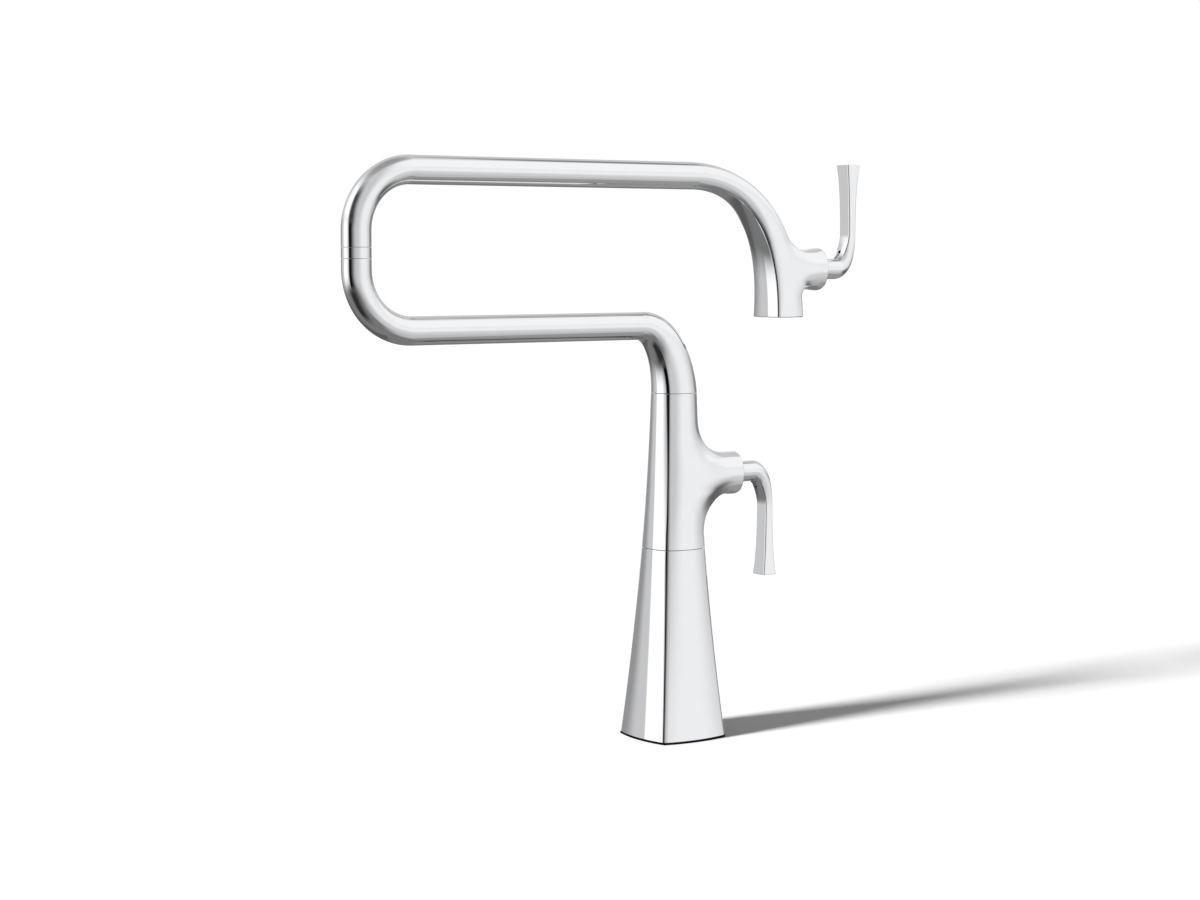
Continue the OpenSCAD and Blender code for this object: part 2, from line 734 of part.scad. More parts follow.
// A round passage swept along a cubic of the XZ plane
sweep_sides = 20;
function round_ring(axis, t, r) = let (d = heading(axis, t))
    placed(curve(axis, t), [d[1], -d[0]],
        [for (i = [0 : sweep_sides - 1]) r * [sin(i * 360 / sweep_sides), -cos(i * 360 / sweep_sides)]]);

// A quarter bend of the elbow, from horizontal at height z to vertical
module elbow_bend(r, z, up) {
    translate([-lower_reach + elbow_bend_r, 0, z + (up ? elbow_bend_r : -elbow_bend_r)])
        rotate([90, 0, 0]) rotate([0, 0, up ? 180 : 90])
        rotate_extrude(angle = 90, $fn = tube_fn)
        translate([elbow_bend_r, 0]) circle(r = r, $fn = tube_fn / 2);
}

// The collar's middle is a little below the middle between the two arms
collar_drop = 2.05;
collar_z = (lower_arm_z + upper_arm_z) / 2 - collar_h / 2 - collar_drop;
neck_bore_share = 0.45;
module at_elbow() {
    translate([-lower_reach, 0, 0]) children();
}

module arm_solid(r, z, x1, up, end_z) {
    translate([0, 0, z]) rod_x(r, -lower_reach + elbow_bend_r, x1);
    elbow_bend(r, z, up);
    bend_z = up ? z + elbow_bend_r : z - elbow_bend_r;
    at_elbow() rod(r, min(end_z, bend_z), max(end_z, bend_z));
}

module lower_arm_tube() {
    color(chrome) difference() {
        union() {
            skin(concat([for (t = steps_between(0, 1, neck_steps)) neck_ring(t)],
                [[for (p = neck_ring(1)) p - [over, 0, 0]]]));
            arm_solid(tube_r, lower_arm_z, -neck_run, true, collar_z);
        }
        skin([for (t = steps_between(neck_bore_share, 1, neck_steps))
            round_ring(neck_axis, t, tube_bore - joint_step)]);
        rod(spigot_r + run_gap + socket_wall, neck_z, neck_z + spigot_up);
        rod(spigot_r - spigot_wall, neck_z, neck_z + spigot_up + tube_bore);
        arm_solid(tube_bore, lower_arm_z, -neck_run + over, true, collar_z + over);
    }
}

// Elbow swivel: the spigot is brazed in the lower tube and turns in the upper one
elbow_spigot_r = 7.4;
elbow_spigot_wall = 1.8;
elbow_spigot_up = 12;
elbow_root = 7;
elbow_seal_up = 1.6;
elbow_seal_step = 3.4;
elbow_clip_up = 8.6;
elbow_seal_zs = [for (i = [0, 1]) collar_z + collar_h + elbow_seal_up + i * elbow_seal_step];
elbow_clip_z = collar_z + collar_h + elbow_clip_up;
upper_foot_z = collar_z + collar_h + glide_t;

module elbow_spigot() {
    color(brass) at_elbow() {
        spigot(elbow_spigot_r, elbow_spigot_r - elbow_spigot_wall, collar_z - elbow_root,
            collar_z + collar_h + elbow_spigot_up, elbow_seal_zs, elbow_clip_z);
        pipe(tube_bore, elbow_spigot_r - over / 2, collar_z - elbow_root, collar_z);
    }
}
module elbow_spigot_seals() {
    at_elbow() seal_rings(elbow_spigot_r, elbow_seal_zs, run_gap / 2);
}
module elbow_collar() {
    color(chrome) at_elbow() pipe(tube_r, elbow_spigot_r, collar_z + seam_gap, collar_z + collar_h);
}
module elbow_glide_ring() {
    color(ptfe) at_elbow() pipe(tube_bore, elbow_spigot_r + loose_gap, collar_z + collar_h, upper_foot_z);
}
module elbow_socket() {
    color(brass) at_elbow() difference() {
        socket(elbow_spigot_r, tube_bore - elbow_spigot_r - run_gap, upper_foot_z,
            collar_z + collar_h + elbow_spigot_up, elbow_clip_z);
    }
}
module elbow_retainer() {
    color(steel) at_elbow() clip(elbow_spigot_r, elbow_clip_z);
}

module upper_arm_tube() {
    color(chrome) difference() {
        arm_solid(tube_r, upper_arm_z, spout_start_x, false, upper_foot_z);
        arm_solid(tube_bore, upper_arm_z, spout_start_x + over, false, upper_foot_z - over);
    }
}

// Spout: the tube's round section turns into the flared outlet, with the hub behind it
spout_plug_l = 12;
spout_passage_r = 4.5;
passage_end_share = 0.32;
spout_passage_back = 6.3;
spout_passage_x = spout_x - spout_passage_back;
aerator_h = 11;
aerator_recess = 0.6;
aerator_wall = 1.5;
aerator_lip = 0.8;
aerator_washer_t = 1.6;
aerator_screen_t = 5;
screen_pitch = 2.4;
screen_hole_r = 0.8;
mix_chamber_l = 4;
module spout_body() {
    top_z = outlet_z + aerator_h + aerator_recess + aerator_washer_t;
    plug_x = spout_start_x - spout_plug_l;
    color(chrome) difference() {
        union() {
            valve_body("spout", [upper_hub[0], upper_valve_z, under_sweep_r, upper_sweep_r]);
            translate([0, 0, upper_arm_z]) rod_x(tube_bore, plug_x, spout_start_x + over);
        }
        translate([0, 0, upper_arm_z]) rod_x(spout_passage_r, plug_x - over, spout_start_x + over);
        skin([for (t = steps_between(passage_end_share, 1, neck_steps))
            round_ring(spout_axis, t, spout_passage_r - joint_step)]);
        drilling(spout_passage_r, [spout_passage_x, upper_valve_z],
            curve(spout_axis, passage_end_share) + [0, over]);
        drilling(passage_r, [spout_passage_x - passage_r, upper_valve_z],
            [upper_hub[0] - chamber_l + over, upper_valve_z]);
        at_hub(upper_hub) valve_chamber();
        translate([spout_x, 0, 0]) rod(aerator_r, outlet_z - over, top_z);
        drilling(out_passage_r,
            [upper_hub[0] - moving_in + window_l / 2, upper_valve_z - cartridge_r + over],
            [spout_x + aerator_r / 4, top_z - over]);
    }
}

module at_spout() {
    translate([spout_x, 0, outlet_z]) children();
}
module aerator_housing() {
    color(chrome) at_spout() difference() {
        rod(aerator_r, aerator_recess, aerator_recess + aerator_h);
        rod(aerator_r - aerator_wall - aerator_lip, -over, aerator_h);
        rod(aerator_r - aerator_wall, aerator_recess + aerator_lip, aerator_h + over * 2);
    }
}
module aerator_insert() {
    insert_r = aerator_r - aerator_wall;
    insert_z = aerator_recess + aerator_lip;
    chamber_z = insert_z + aerator_screen_t / 2;
    color(plastic) at_spout() difference() {
        rod(insert_r, insert_z, aerator_recess + aerator_h);
        rod(insert_r - over, chamber_z, chamber_z + mix_chamber_l);
        for (i = [-3 : 3]) for (j = [-3 : 3])
            if (norm([i, j]) * screen_pitch < insert_r - 2 * screen_hole_r)
                translate([i * screen_pitch, j * screen_pitch, 0])
                rod(screen_hole_r, insert_z - over, aerator_recess + aerator_h + over);
    }
}
module aerator_washer() {
    washer_z = aerator_recess + aerator_h;
    color(rubber) at_spout()
        pipe(aerator_r, aerator_r - aerator_wall - aerator_lip, washer_z, washer_z + aerator_washer_t);
}

module lower_cartridge() { at_hub(lower_hub) cartridge(); }
module lower_fixed_disc() { at_hub(lower_hub) fixed_disc(); }
module lower_seat_seal() { at_hub(lower_hub) seat_seal(); }
module lower_bonnet_nut() { at_hub(lower_hub) bonnet_nut(); }
module lower_stem() { handle_at(lower_hub, false) spindle(); }
module lower_stem_seal() { handle_at(lower_hub, false) spindle_seal(); }
module lower_moving_disc() { handle_at(lower_hub, false) moving_disc(); }
module lower_lever() { handle_at(lower_hub, false) lever(); }
module lower_lever_screw() { handle_at(lower_hub, false) lever_screw(); }
module upper_cartridge() { at_hub(upper_hub) cartridge(); }
module upper_fixed_disc() { at_hub(upper_hub) fixed_disc(); }
module upper_seat_seal() { at_hub(upper_hub) seat_seal(); }
module upper_bonnet_nut() { at_hub(upper_hub) bonnet_nut(); }
module upper_stem() { handle_at(upper_hub, true) spindle(); }
module upper_stem_seal() { handle_at(upper_hub, true) spindle_seal(); }
module upper_moving_disc() { handle_at(upper_hub, true) moving_disc(); }
module upper_lever() { handle_at(upper_hub, true) lever(); }
module upper_lever_screw() { handle_at(upper_hub, true) lever_screw(); }

base_gasket();
base_plate();
base_cover();
mounting_shank();
under_deck_washer();
clamp_washer();
mounting_nut();
nut_screws();
riser_tube();
riser_seals();
column_body();
column_spigot();
column_spigot_seals();
lower_cartridge();
lower_fixed_disc();
lower_seat_seal();
lower_bonnet_nut();
lower_stem();
lower_stem_seal();
lower_moving_disc();
lower_lever();
lower_lever_screw();
lower_arm_tube();
column_socket();
column_retainer();
column_glide_ring();
elbow_spigot();
elbow_spigot_seals();
elbow_collar();
elbow_glide_ring();
upper_arm_tube();
elbow_socket();
elbow_retainer();
spout_body();
aerator_housing();
aerator_insert();
aerator_washer();
upper_cartridge();
upper_fixed_disc();
upper_seat_seal();
upper_bonnet_nut();
upper_stem();
upper_stem_seal();
upper_moving_disc();
upper_lever();
upper_lever_screw();
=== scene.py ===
"""Deck mount pot filler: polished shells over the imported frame, in a plain white studio.

Lengths are in millimetres, as in the part's source, and become metres where a mesh is made.
The elbow's collar is turned, and each other shell is lofted over closed rings of points.
"""
import json
import math
from collections import namedtuple

import bmesh
import bpy
import numpy as np
from mathutils import Matrix, Vector


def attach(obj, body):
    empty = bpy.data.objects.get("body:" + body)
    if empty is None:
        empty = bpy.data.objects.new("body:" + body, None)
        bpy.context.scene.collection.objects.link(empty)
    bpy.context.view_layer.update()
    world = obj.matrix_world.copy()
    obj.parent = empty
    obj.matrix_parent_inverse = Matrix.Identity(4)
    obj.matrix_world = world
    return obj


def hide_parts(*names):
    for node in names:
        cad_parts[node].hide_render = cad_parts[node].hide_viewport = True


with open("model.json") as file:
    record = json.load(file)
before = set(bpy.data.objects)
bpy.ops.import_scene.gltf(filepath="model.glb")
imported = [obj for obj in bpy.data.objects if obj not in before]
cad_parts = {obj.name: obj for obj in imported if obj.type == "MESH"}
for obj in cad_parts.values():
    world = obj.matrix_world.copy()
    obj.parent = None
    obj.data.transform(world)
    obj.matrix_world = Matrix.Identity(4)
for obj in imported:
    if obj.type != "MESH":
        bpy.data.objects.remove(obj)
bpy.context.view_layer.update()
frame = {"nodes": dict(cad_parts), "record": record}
nodes = frame["nodes"]
MM = 0.001
X, Z = 0, 2
ROOT_HALF = math.sqrt(0.5)

# Sizes that the shells share with the solids
# Column: half the spacing of its creases at foot and neck, its sides' bow and its flare's shape
BASE_HALF, NECK_HALF, SIDE_BOW, FLARE_SHARE = 29.85, 13.05, 4.4, 0.4
# The tops of its gasket, cover and neck, and the cover's wall, seam and socket
GASKET_T, COVER_TOP_Z, NECK_Z = 1.6, 149.0, 270.0
COVER_WALL, COVER_SEAM, SOCKET_R, SOCKET_H = 2.5, 0.25, 14.0, 8.0
# Arms: their tube, where they run, and the elbow between them
TUBE_R, TUBE_BORE_R = 11.1, 9.1
LOWER_REACH, LOWER_ARM_Z, UPPER_ARM_Z, ELBOW_BEND_R = 279.5, 322.8, 438.5, 44.0
COLLAR_Z, COLLAR_H = 374.6, 8.0
NECK_PULL, NECK_RUN, NECK_MID_HALF, ARM_PULL_SHARE = 7.5, 35.0, 12.6, 0.885
# Swivels
SPIGOT_R, SPIGOT_BORE_R, SPIGOT_UP, NECK_BORE_L = 9.0, 6.5, 21.0, 14.0
SOCKET_WALL, RUN_GAP = 2.6, 0.06
ELBOW_SPIGOT_R, ELBOW_SPIGOT_UP, ELBOW_ROOT = 7.4, 12.0, 7.0
# Hubs: where each ends and its height, half the spacing of its creases, its bow and its sweeps
LOWER_HUB, UPPER_HUB = (57.2, 205.2), (142.0, 365.6)
HUB_HALF, HUB_BOW = 13.2, 4.5
LOWER_SWEEP_R, UPPER_SWEEP_R, UNDER_SWEEP_R = 31.0, 26.0, 9.0
# The rooms in a hub's end, for the bonnet nut and for the cartridge
BONNET_R, BONNET_L, CHAMBER_R, CHAMBER_L = 12.8, 8.0, 11.5, 38.0
# Spout
SPOUT_X, SPOUT_START_X = 104.3, 15.0
OUTLET_Z, OUTLET_HALF_X, OUTLET_HALF_Y, OUTLET_BOW = 327.3, 12.9, 16.7, 2.0
WAIST_HALF_X, WAIST_HALF_Y, WAIST_BOW = 7.0, 10.8, 2.5
OUTLET_PULL_SHARE, TUBE_PULL_SHARE = 0.8094, 0.4479
AERATOR_R, AERATOR_DEPTH = 10.4, 13.2
# Levers: stem, blade at its thinnest and at its end, the spindle's bore and the set screw's hole
LEVER_STEM_R, LEVER_REACH, LEVER_DROP, STEM_IN = 8.5, 34.3, 84.4, 6.8
BLADE_HALF, BLADE_END = (3.35, 6.25), (6.3, 7.5)
SPINDLE_R, SPINDLE_OUT, GRUB_R, GRUB_AT = 4.5, 17.0, 2.5, 14.8
# A lever's bend, as shares of the lever's reach, then of its drop, and of the bend's own chord
BEND_OUT_SHARE, STEM_PULL_SHARE = 0.55, 0.34
BEND_DROP_SHARE, BLADE_PULL_SHARE = 0.34, 0.10
BEND_ARC_SHARE = 1.12
# The power of the way along it by which a blade widens
FLARE_POWER = 3.6

# Sizes of the shells alone
# The shells' lips close the swivels' gaps down to these, at the neck and at the elbow
NECK_GAP, ELBOW_GAP = 0.2, 0.12
# The blade's faces are flatter here, so that each reflects evenly
BLADE_BOW = 0.2
# How far a cut runs past the face that it opens
OVER = 1.0
# How far the water way is cut above the lower swivel's spigot
SPIGOT_WAY_L = 6.0
# The set screw's hole is cut from inside the spindle's bore to beyond the lever
GRUB_FROM, GRUB_TO = 5.0, 34.0

# How far the creases are rounded off, and the angles between which that comes in
BODY_ROUND, SPOUT_ROUND, LEVER_ROUND = 2.6, 1.9, 1.1
CREASE_FROM, CREASE_FULL, CREASE_N = 14, 40, 6
# No rounding goes further than this share of the step beside it, or lies nearly along its ring
CREASE_SHARE, LEAST_ACROSS, FADE_ACROSS = 0.92, 0.5, 0.3
# The first step beside a crease, as a share of its rounding
ROOM_SHARE = 1.1
# The rounding of the rims: the widest, the least angle, the seams', the hubs' and the others'
RIM_ROUND, RIM_FROM, SEAM_RIM, HUB_RIM, OUTLET_RIM, BLADE_RIM = 1.2, 30, 0.24, 1.0, 1.2, 0.4
# Edges sharper than this stay sharp in the shading
SHARP_FROM = 42

# How finely the rings are divided: a wide and a deep side
FACE_N, SIDE_N = 22, 14
# Steps along the leg, a sweep, a hub's straight part and its end
LEG_N, SWEEP_N, HUB_N, RIM_N = 26, 18, 5, 14
# Rings of the cover, its hollow, the neck, the elbow's bends and the straight runs between
COVER_RINGS, HOLLOW_RINGS, NECK_RINGS, BEND_RINGS = 60, 12, 48, 45
LOWER_RUN_RINGS, UPPER_RUN_RINGS, RISE_RINGS = 16, 18, 2
# Rings of a lever's stem, bend and blade, and the sides of what is round
STEM_RINGS, CROOK_RINGS, BLADE_RINGS, ROUND_N = 12, 56, 50, 96
# Points closer than the first become one, and edges shorter than the second are taken out
MERGE, DISSOLVE = 0.008, 0.004
# A point this near to a plane lies in it, and this little keeps a length or a share from being none
SAME, TINY = 0.001, 0.0001
# How often the search for a sweep's start halves its range
HALVINGS = 40

# A four-sided section: where it is, the way its width points, half its width and depth between
# the creases, and how far its sides bow out along the width and along Y
Section = namedtuple("Section", "at out half_w half_y bow_w bow_y")
# A point on the outline of a leg with its hub, the way out from it, whether it is on the hub's
# end, and how far up the leg its ring starts
Row = namedtuple("Row", "point out on_end t")


def smooth(t):
    """A share that starts and stops gently."""
    t = np.clip(t, 0.0, 1.0)
    return t * t * (3 - 2 * t)


def mix(a, b, t):
    """The value a share t of the way from a to b."""
    return a + (b - a) * t


def ease(a, m, b, t):
    """The value a share t of the way from a to b, drawn towards m in between."""
    return a * (1 - t) ** 2 + 2 * m * t * (1 - t) + b * t * t


def curve(p, t):
    """A point on the cubic with the four control points p."""
    s = 1 - t
    return s ** 3 * p[0] + 3 * s * s * t * p[1] + 3 * s * t * t * p[2] + t ** 3 * p[3]


def unit(v):
    return v / np.linalg.norm(v)


def heading(p, t):
    """The way in which such a cubic runs."""
    s = 1 - t
    return unit(s * s * (p[1] - p[0]) + 2 * s * t * (p[2] - p[1]) + t * t * (p[3] - p[2]))


def out_of(d):
    """The outer side of a path in the XZ plane that runs along d."""
    return np.array([d[1], -d[0]])


def bow_out(half, bow, full):
    """How far a bowed side stands out where its fullness is full: 0 at a crease, 1 mid-side."""
    r = (half * half + bow * bow) / (2 * bow)
    return np.sqrt(r * r - half * half * (1 - full)) - (r - bow)


def shares(length, n, first):
    """Shares from 0 to 1 in n steps, of which the first and last are no shorter than first."""
    k = max(first / length, 1 / n)
    return np.concatenate([[0], np.linspace(k, 1 - k, n - 1), [1]])


def edge_room(section, rounding):
    """The room that a crease's rounding needs beside it, which grows with the crease's angle."""
    lean = math.atan(section.bow_y / section.half_w) + math.atan(section.bow_w / section.half_y)
    fold = 90 - 2 * math.degrees(lean)
    return ROOM_SHARE * rounding * min(1.0, max(0.0, (fold - CREASE_FROM) / (CREASE_FULL - CREASE_FROM)))


def side(half, bow, n, first):
    """One side's points, from one crease up to but not onto the next."""
    t = 2 * shares(2 * half, n, first)[:-1] - 1
    return np.stack([t * half, bow_out(half, bow, 1 - t * t)], 1)


def set_out(at, out, far, y):
    """Points at the depths y, each moved far along out from a point of the XZ plane."""
    return np.stack([at[0] + out[0] * far, y, at[1] + out[1] * far], 1)


def ring(section, n_w, n_y, rounding):
    """The points round a section, n_w on each side along its width and n_y on each along Y."""
    half_w, half_y = section.half_w, section.half_y
    first = edge_room(section, rounding)
    a, b = side(half_w, section.bow_y, n_w, first), side(half_y, section.bow_w, n_y, first)
    flat = np.concatenate([
        np.stack([a[:, 0], -half_y - a[:, 1]], 1), np.stack([half_w + b[:, 1], b[:, 0]], 1),
        np.stack([-a[:, 0], half_y + a[:, 1]], 1), np.stack([-half_w - b[:, 1], -b[:, 0]], 1)])
    return set_out(section.at, section.out, flat[:, 0], flat[:, 1])


def corners(n_w, n_y):
    """Where such a ring has its four creases."""
    return [0, n_w, n_w + n_y, 2 * n_w + n_y]


# Legs: the forms that carry a hub, as sections from the foot, at 0, to the top, at 1

def column_section(z, wall=0.0):
    """The column's section at a height, or its inside behind a wall."""
    t = (NECK_Z - z) / NECK_Z
    half = mix(NECK_HALF, BASE_HALF, t * (FLARE_SHARE + (1 - FLARE_SHARE) * t)) - wall
    return Section(np.array([0.0, z]), np.array([1.0, 0.0]), half, half, SIDE_BOW, SIDE_BOW)


def column_leg(t):
    return column_section(mix(COVER_TOP_Z, NECK_Z, t))


TUBE_HALF = TUBE_R * ROOT_HALF
TUBE_BOW = TUBE_R - TUBE_HALF
OUTLET_PULL = OUTLET_PULL_SHARE * (UPPER_ARM_Z - OUTLET_Z)
TUBE_PULL = TUBE_PULL_SHARE * (SPOUT_X - SPOUT_START_X)
SPOUT_AXIS = [np.array(p) for p in (
    (SPOUT_X, OUTLET_Z), (SPOUT_X, OUTLET_Z + OUTLET_PULL),
    (SPOUT_START_X + TUBE_PULL, UPPER_ARM_Z), (SPOUT_START_X, UPPER_ARM_Z))]


def spout_leg(t):
    s = 1 - t
    bow = ease(TUBE_BOW, WAIST_BOW, OUTLET_BOW, s)
    return Section(
        curve(SPOUT_AXIS, t), out_of(heading(SPOUT_AXIS, t)),
        ease(TUBE_HALF, WAIST_HALF_X, OUTLET_HALF_X, s),
        ease(TUBE_HALF, WAIST_HALF_Y, OUTLET_HALF_Y, s), bow, bow)


def crease(leg, sign):
    """A leg's outer crease, for 1, or its inner one, for -1."""
    return leg.at + sign * leg.half_w * leg.out


def sweep_start(leg_at, r, z):
    """Where along the leg a sweep of radius r starts, so that its centre is at height z."""
    low, high = 0.0, 1.0
    for _ in range(HALVINGS):
        middle = (low + high) / 2
        leg = leg_at(middle)
        if (crease(leg, 1) + r * leg.out)[1] < z:
            low = middle
        else:
            high = middle
    return (low + high) / 2


def to_path(p, path):
    """Distance from each point of p to a polyline."""
    a, b = path[:-1], path[1:]
    d = b - a
    k = ((p[:, None] - a) * d).sum(2) / np.maximum((d * d).sum(1), TINY ** 2)
    k = np.clip(k, 0, 1)[..., None]
    return np.linalg.norm(p[:, None] - a - k * d, axis=2).min(1)


def arc(centre, r, start, end):
    """Points along a sweep's arc, whose outer side faces its centre."""
    points = []
    for a in np.linspace(start, end, SWEEP_N + 1):
        ray = np.array([math.cos(a), math.sin(a)])
        points.append((centre + r * ray, -ray, False))
    return points


def hub_outline(leg_at, hub, r_low, r_high):
    """The rows up a leg's outer crease and out round its hub; the points of the crease that runs
    out under the hub, and of the one that comes back over it; and the t of the hub's middle row."""
    end_x, z = hub
    up, ahead = np.array([0.0, 1.0]), np.array([1.0, 0.0])
    t_low = sweep_start(leg_at, r_low, z - HUB_HALF - r_low)
    t_high = sweep_start(leg_at, r_high, z + HUB_HALF + r_high)
    leg_low, leg_high = leg_at(t_low), leg_at(t_high)
    centre_low = crease(leg_low, 1) + r_low * leg_low.out
    centre_high = crease(leg_high, 1) + r_high * leg_high.out
    turn_low, turn_high = (math.pi + math.atan2(leg.out[1], leg.out[0]) for leg in (leg_low, leg_high))

    def on_leg(start, end):
        legs = [leg_at(t) for t in np.linspace(start, end, LEG_N + 1)]
        return [(crease(leg, 1), leg.out, False) for leg in legs]

    foot = on_leg(0, t_low)
    under = arc(centre_low, r_low, turn_low, math.pi / 2)
    low = [(np.array([x, z - HUB_HALF]), -up, False)
           for x in np.linspace(centre_low[0], end_x, HUB_N + 1)[1:]]
    end = [(np.array([end_x, z + k * (1 - TINY) * HUB_HALF]), ahead, True)
           for k in np.linspace(-1, 1, RIM_N + 1)]
    high = [(np.array([x, z + HUB_HALF]), up, False)
            for x in np.linspace(end_x, centre_high[0], HUB_N + 1)[:-1]]
    above = arc(centre_high, r_high, 1.5 * math.pi, turn_high)
    top = on_leg(t_high, 1)

    round_hub = under[1:] + low + end + high + above[:-1]
    path = np.array([row[0] for row in foot[-1:] + round_hub + top[:1]])
    far = np.concatenate([[0], np.cumsum(np.linalg.norm(np.diff(path, axis=0), axis=1))])
    rows = [Row(*row, t_low * i / LEG_N) for i, row in enumerate(foot)]
    rows += [Row(*row, mix(t_low, t_high, far[i + 1] / far[-1])) for i, row in enumerate(round_hub)]
    rows += [Row(*row, mix(t_high, 1, i / LEG_N)) for i, row in enumerate(top)]
    low_end = len(foot + under[1:] + low) - 1
    high_start = low_end + len(end) + 1
    points = np.array([row.point for row in rows])
    return rows, points[:low_end + 1], points[high_start:], rows[(low_end + high_start) // 2].t


def valve_rings(leg_at, hub, r_low, r_high, rounding):
    """Rings over a leg and the hub that leaves it, fanned out from the leg's inner crease."""
    rows, low_crease, high_crease, hub_t = hub_outline(leg_at, hub, r_low, r_high)
    rings = []
    for row in rows:
        leg = leg_at(row.t)
        inner = crease(leg, -1)
        first = edge_room(leg, rounding)
        k = shares(np.linalg.norm(row.point - inner), FACE_N, first)[:, None]
        face = mix(inner, row.point, k)
        on_hub = smooth((face[:, 0] - leg.at[0] - leg.half_w) / (hub[0] - leg.at[0] - leg.half_w))
        on_leg = 1 - smooth((face[:, 0] - leg.at[0]) / (hub[0] - leg.at[0]))
        # Each crease holds the face down the more, the nearer it is
        holds = [on_leg / np.maximum(np.linalg.norm(face - inner, axis=1), TINY),
                 smooth((1 - row.t) / (1 - hub_t)) / np.maximum(to_path(face, low_crease), TINY),
                 smooth(row.t / hub_t) / np.maximum(to_path(face, high_crease), TINY)]
        full = 2 * (1 - sum(hold ** 2 for hold in holds) / sum(holds) ** 2)
        full[0] = 0
        depth = mix(leg.half_y, HUB_HALF, on_hub) + bow_out(
            mix(leg.half_w, HUB_HALF, on_hub), mix(leg.bow_y, HUB_BOW, on_hub), full)
        front = np.stack([face[:, 0], -depth, face[:, 1]], 1)
        back = front[::-1] * np.array([1, -1, 1])
        y = 2 * shares(2 * depth[0], SIDE_N, first)[1:-1] - 1
        end_bow = mix(leg.bow_w, HUB_BOW, on_hub[-1])
        bulge = np.zeros_like(y) if row.on_end else bow_out(depth[-1], end_bow, 1 - y * y)
        right = set_out(row.point, row.out, bulge, y * depth[-1])
        left = set_out(inner, -leg.out, bow_out(depth[0], leg.bow_w, 1 - y * y), -y * depth[0])
        rings.append(np.concatenate([front, right, back, left]))
    return rings


# Meshes

def add(name, data):
    """Puts data into the scene as an object."""
    obj = bpy.data.objects.new(name, data)
    bpy.context.scene.collection.objects.link(obj)
    return obj


def add_mesh(name, work):
    """Puts the mesh that is being worked on into the scene."""
    mesh = bpy.data.meshes.new(name)
    work.to_mesh(mesh)
    work.free()
    return add(name, mesh)


def lies_at(vert, axis, place):
    return abs(vert.co[axis] - place * MM) < SAME * MM


def corner_arc(p, a, b, along, width):
    """Points that round off a crease at p, which runs along a way between its neighbours a and b.
    The rounding fades out with the crease, and where the ring runs along it."""
    most = CREASE_SHARE * min(np.linalg.norm(a - p), np.linalg.norm(b - p))
    a, b, along = unit(a - p), unit(b - p), unit(along)
    fold = math.degrees(math.acos(np.clip(unit(np.cross(a, along)) @ unit(np.cross(along, b)), -1, 1)))
    across = min(np.linalg.norm(np.cross(a, along)), np.linalg.norm(np.cross(b, along)))
    w = width * np.clip((fold - CREASE_FROM) / (CREASE_FULL - CREASE_FROM), 0, 1)
    w = min(w * smooth((across - LEAST_ACROSS) / FADE_ACROSS), most)
    k = np.linspace(0, 1, CREASE_N + 1)[:, None]
    s = 1 - k
    c = 2 * k * s * math.sin(math.acos(np.clip(a @ b, -1, 1)) / 2)
    return (s * s * (p + w * a) + c * p + k * k * (p + w * b)) / (s * s + c + k * k)


def rounded(rings, creases, width, flat_x):
    """The rings with their creases rounded off, except on a flat end, where x is flat_x."""
    done = []
    for k, points in enumerate(rings):
        ahead, behind = rings[min(k + 1, len(rings) - 1)], rings[max(k - 1, 0)]
        row = []
        for i, p in enumerate(points):
            if i not in creases:
                row.append(p[None])
                continue
            on_end = flat_x is not None and abs(p[0] - flat_x) < SAME
            row.append(corner_arc(
                p, points[i - 1], points[(i + 1) % len(points)], ahead[i] - behind[i],
                0.0 if on_end else width))
        done.append(np.concatenate(row))
    return done


def loft(name, rings, creases=(), width=0.0, flat_x=None):
    """A closed skin over rings of equal length, with one face on the flat end, if it has one."""
    rings = rounded(rings, creases, width, flat_x)
    n, last = len(rings[0]), len(rings) - 1
    faces = [(k * n + i, k * n + (i + 1) % n, (k + 1) * n + (i + 1) % n, (k + 1) * n + i)
             for k in range(last) for i in range(n)]
    faces += [tuple(range(n - 1, -1, -1)), tuple(last * n + i for i in range(n))]
    mesh = bpy.data.meshes.new(name)
    mesh.from_pydata((np.concatenate(rings) * MM).tolist(), [], faces)
    work = bmesh.new()
    work.from_mesh(mesh)
    bmesh.ops.remove_doubles(work, verts=work.verts, dist=MERGE * MM)
    bmesh.ops.dissolve_degenerate(work, dist=DISSOLVE * MM, edges=work.edges)
    if flat_x is not None:
        end = [f for f in work.faces if all(lies_at(v, X, flat_x) for v in f.verts)]
        bmesh.ops.dissolve_faces(work, faces=end, use_verts=True)
    bmesh.ops.recalc_face_normals(work, faces=work.faces)
    work.to_mesh(mesh)
    work.free()
    return add(name, mesh)


def turned(name, profile, x):
    """A skin turned about the upright line at x; profile is a closed row of (radius, height)."""
    work = bmesh.new()
    loops = [[work.verts.new(((x + r * math.cos(a)) * MM, r * math.sin(a) * MM, z * MM))
              for r, z in profile] for a in np.linspace(0, 2 * math.pi, ROUND_N, endpoint=False)]
    for k, loop in enumerate(loops):
        beside = loops[(k + 1) % ROUND_N]
        for i in range(len(profile)):
            j = (i + 1) % len(profile)
            work.faces.new((loop[i], beside[i], beside[j], loop[j]))
    bmesh.ops.recalc_face_normals(work, faces=work.faces)
    return add_mesh(name, work)


def cylinder(start, end, r):
    """A closed cylinder between two points, to cut with."""
    a, b = Vector(start) * MM, Vector(end) * MM
    turn = (b - a).to_track_quat("Z", "Y").to_matrix().to_4x4()
    work = bmesh.new()
    bmesh.ops.create_cone(
        work, cap_ends=True, segments=ROUND_N, radius1=r * MM, radius2=r * MM, depth=(b - a).length,
        matrix=Matrix.Translation((a + b) / 2) @ turn)
    return add_mesh("cutter", work)


def upright(x, low, high, r):
    """A cylinder along Z, to cut with."""
    return cylinder((x, 0, low), (x, 0, high), r)


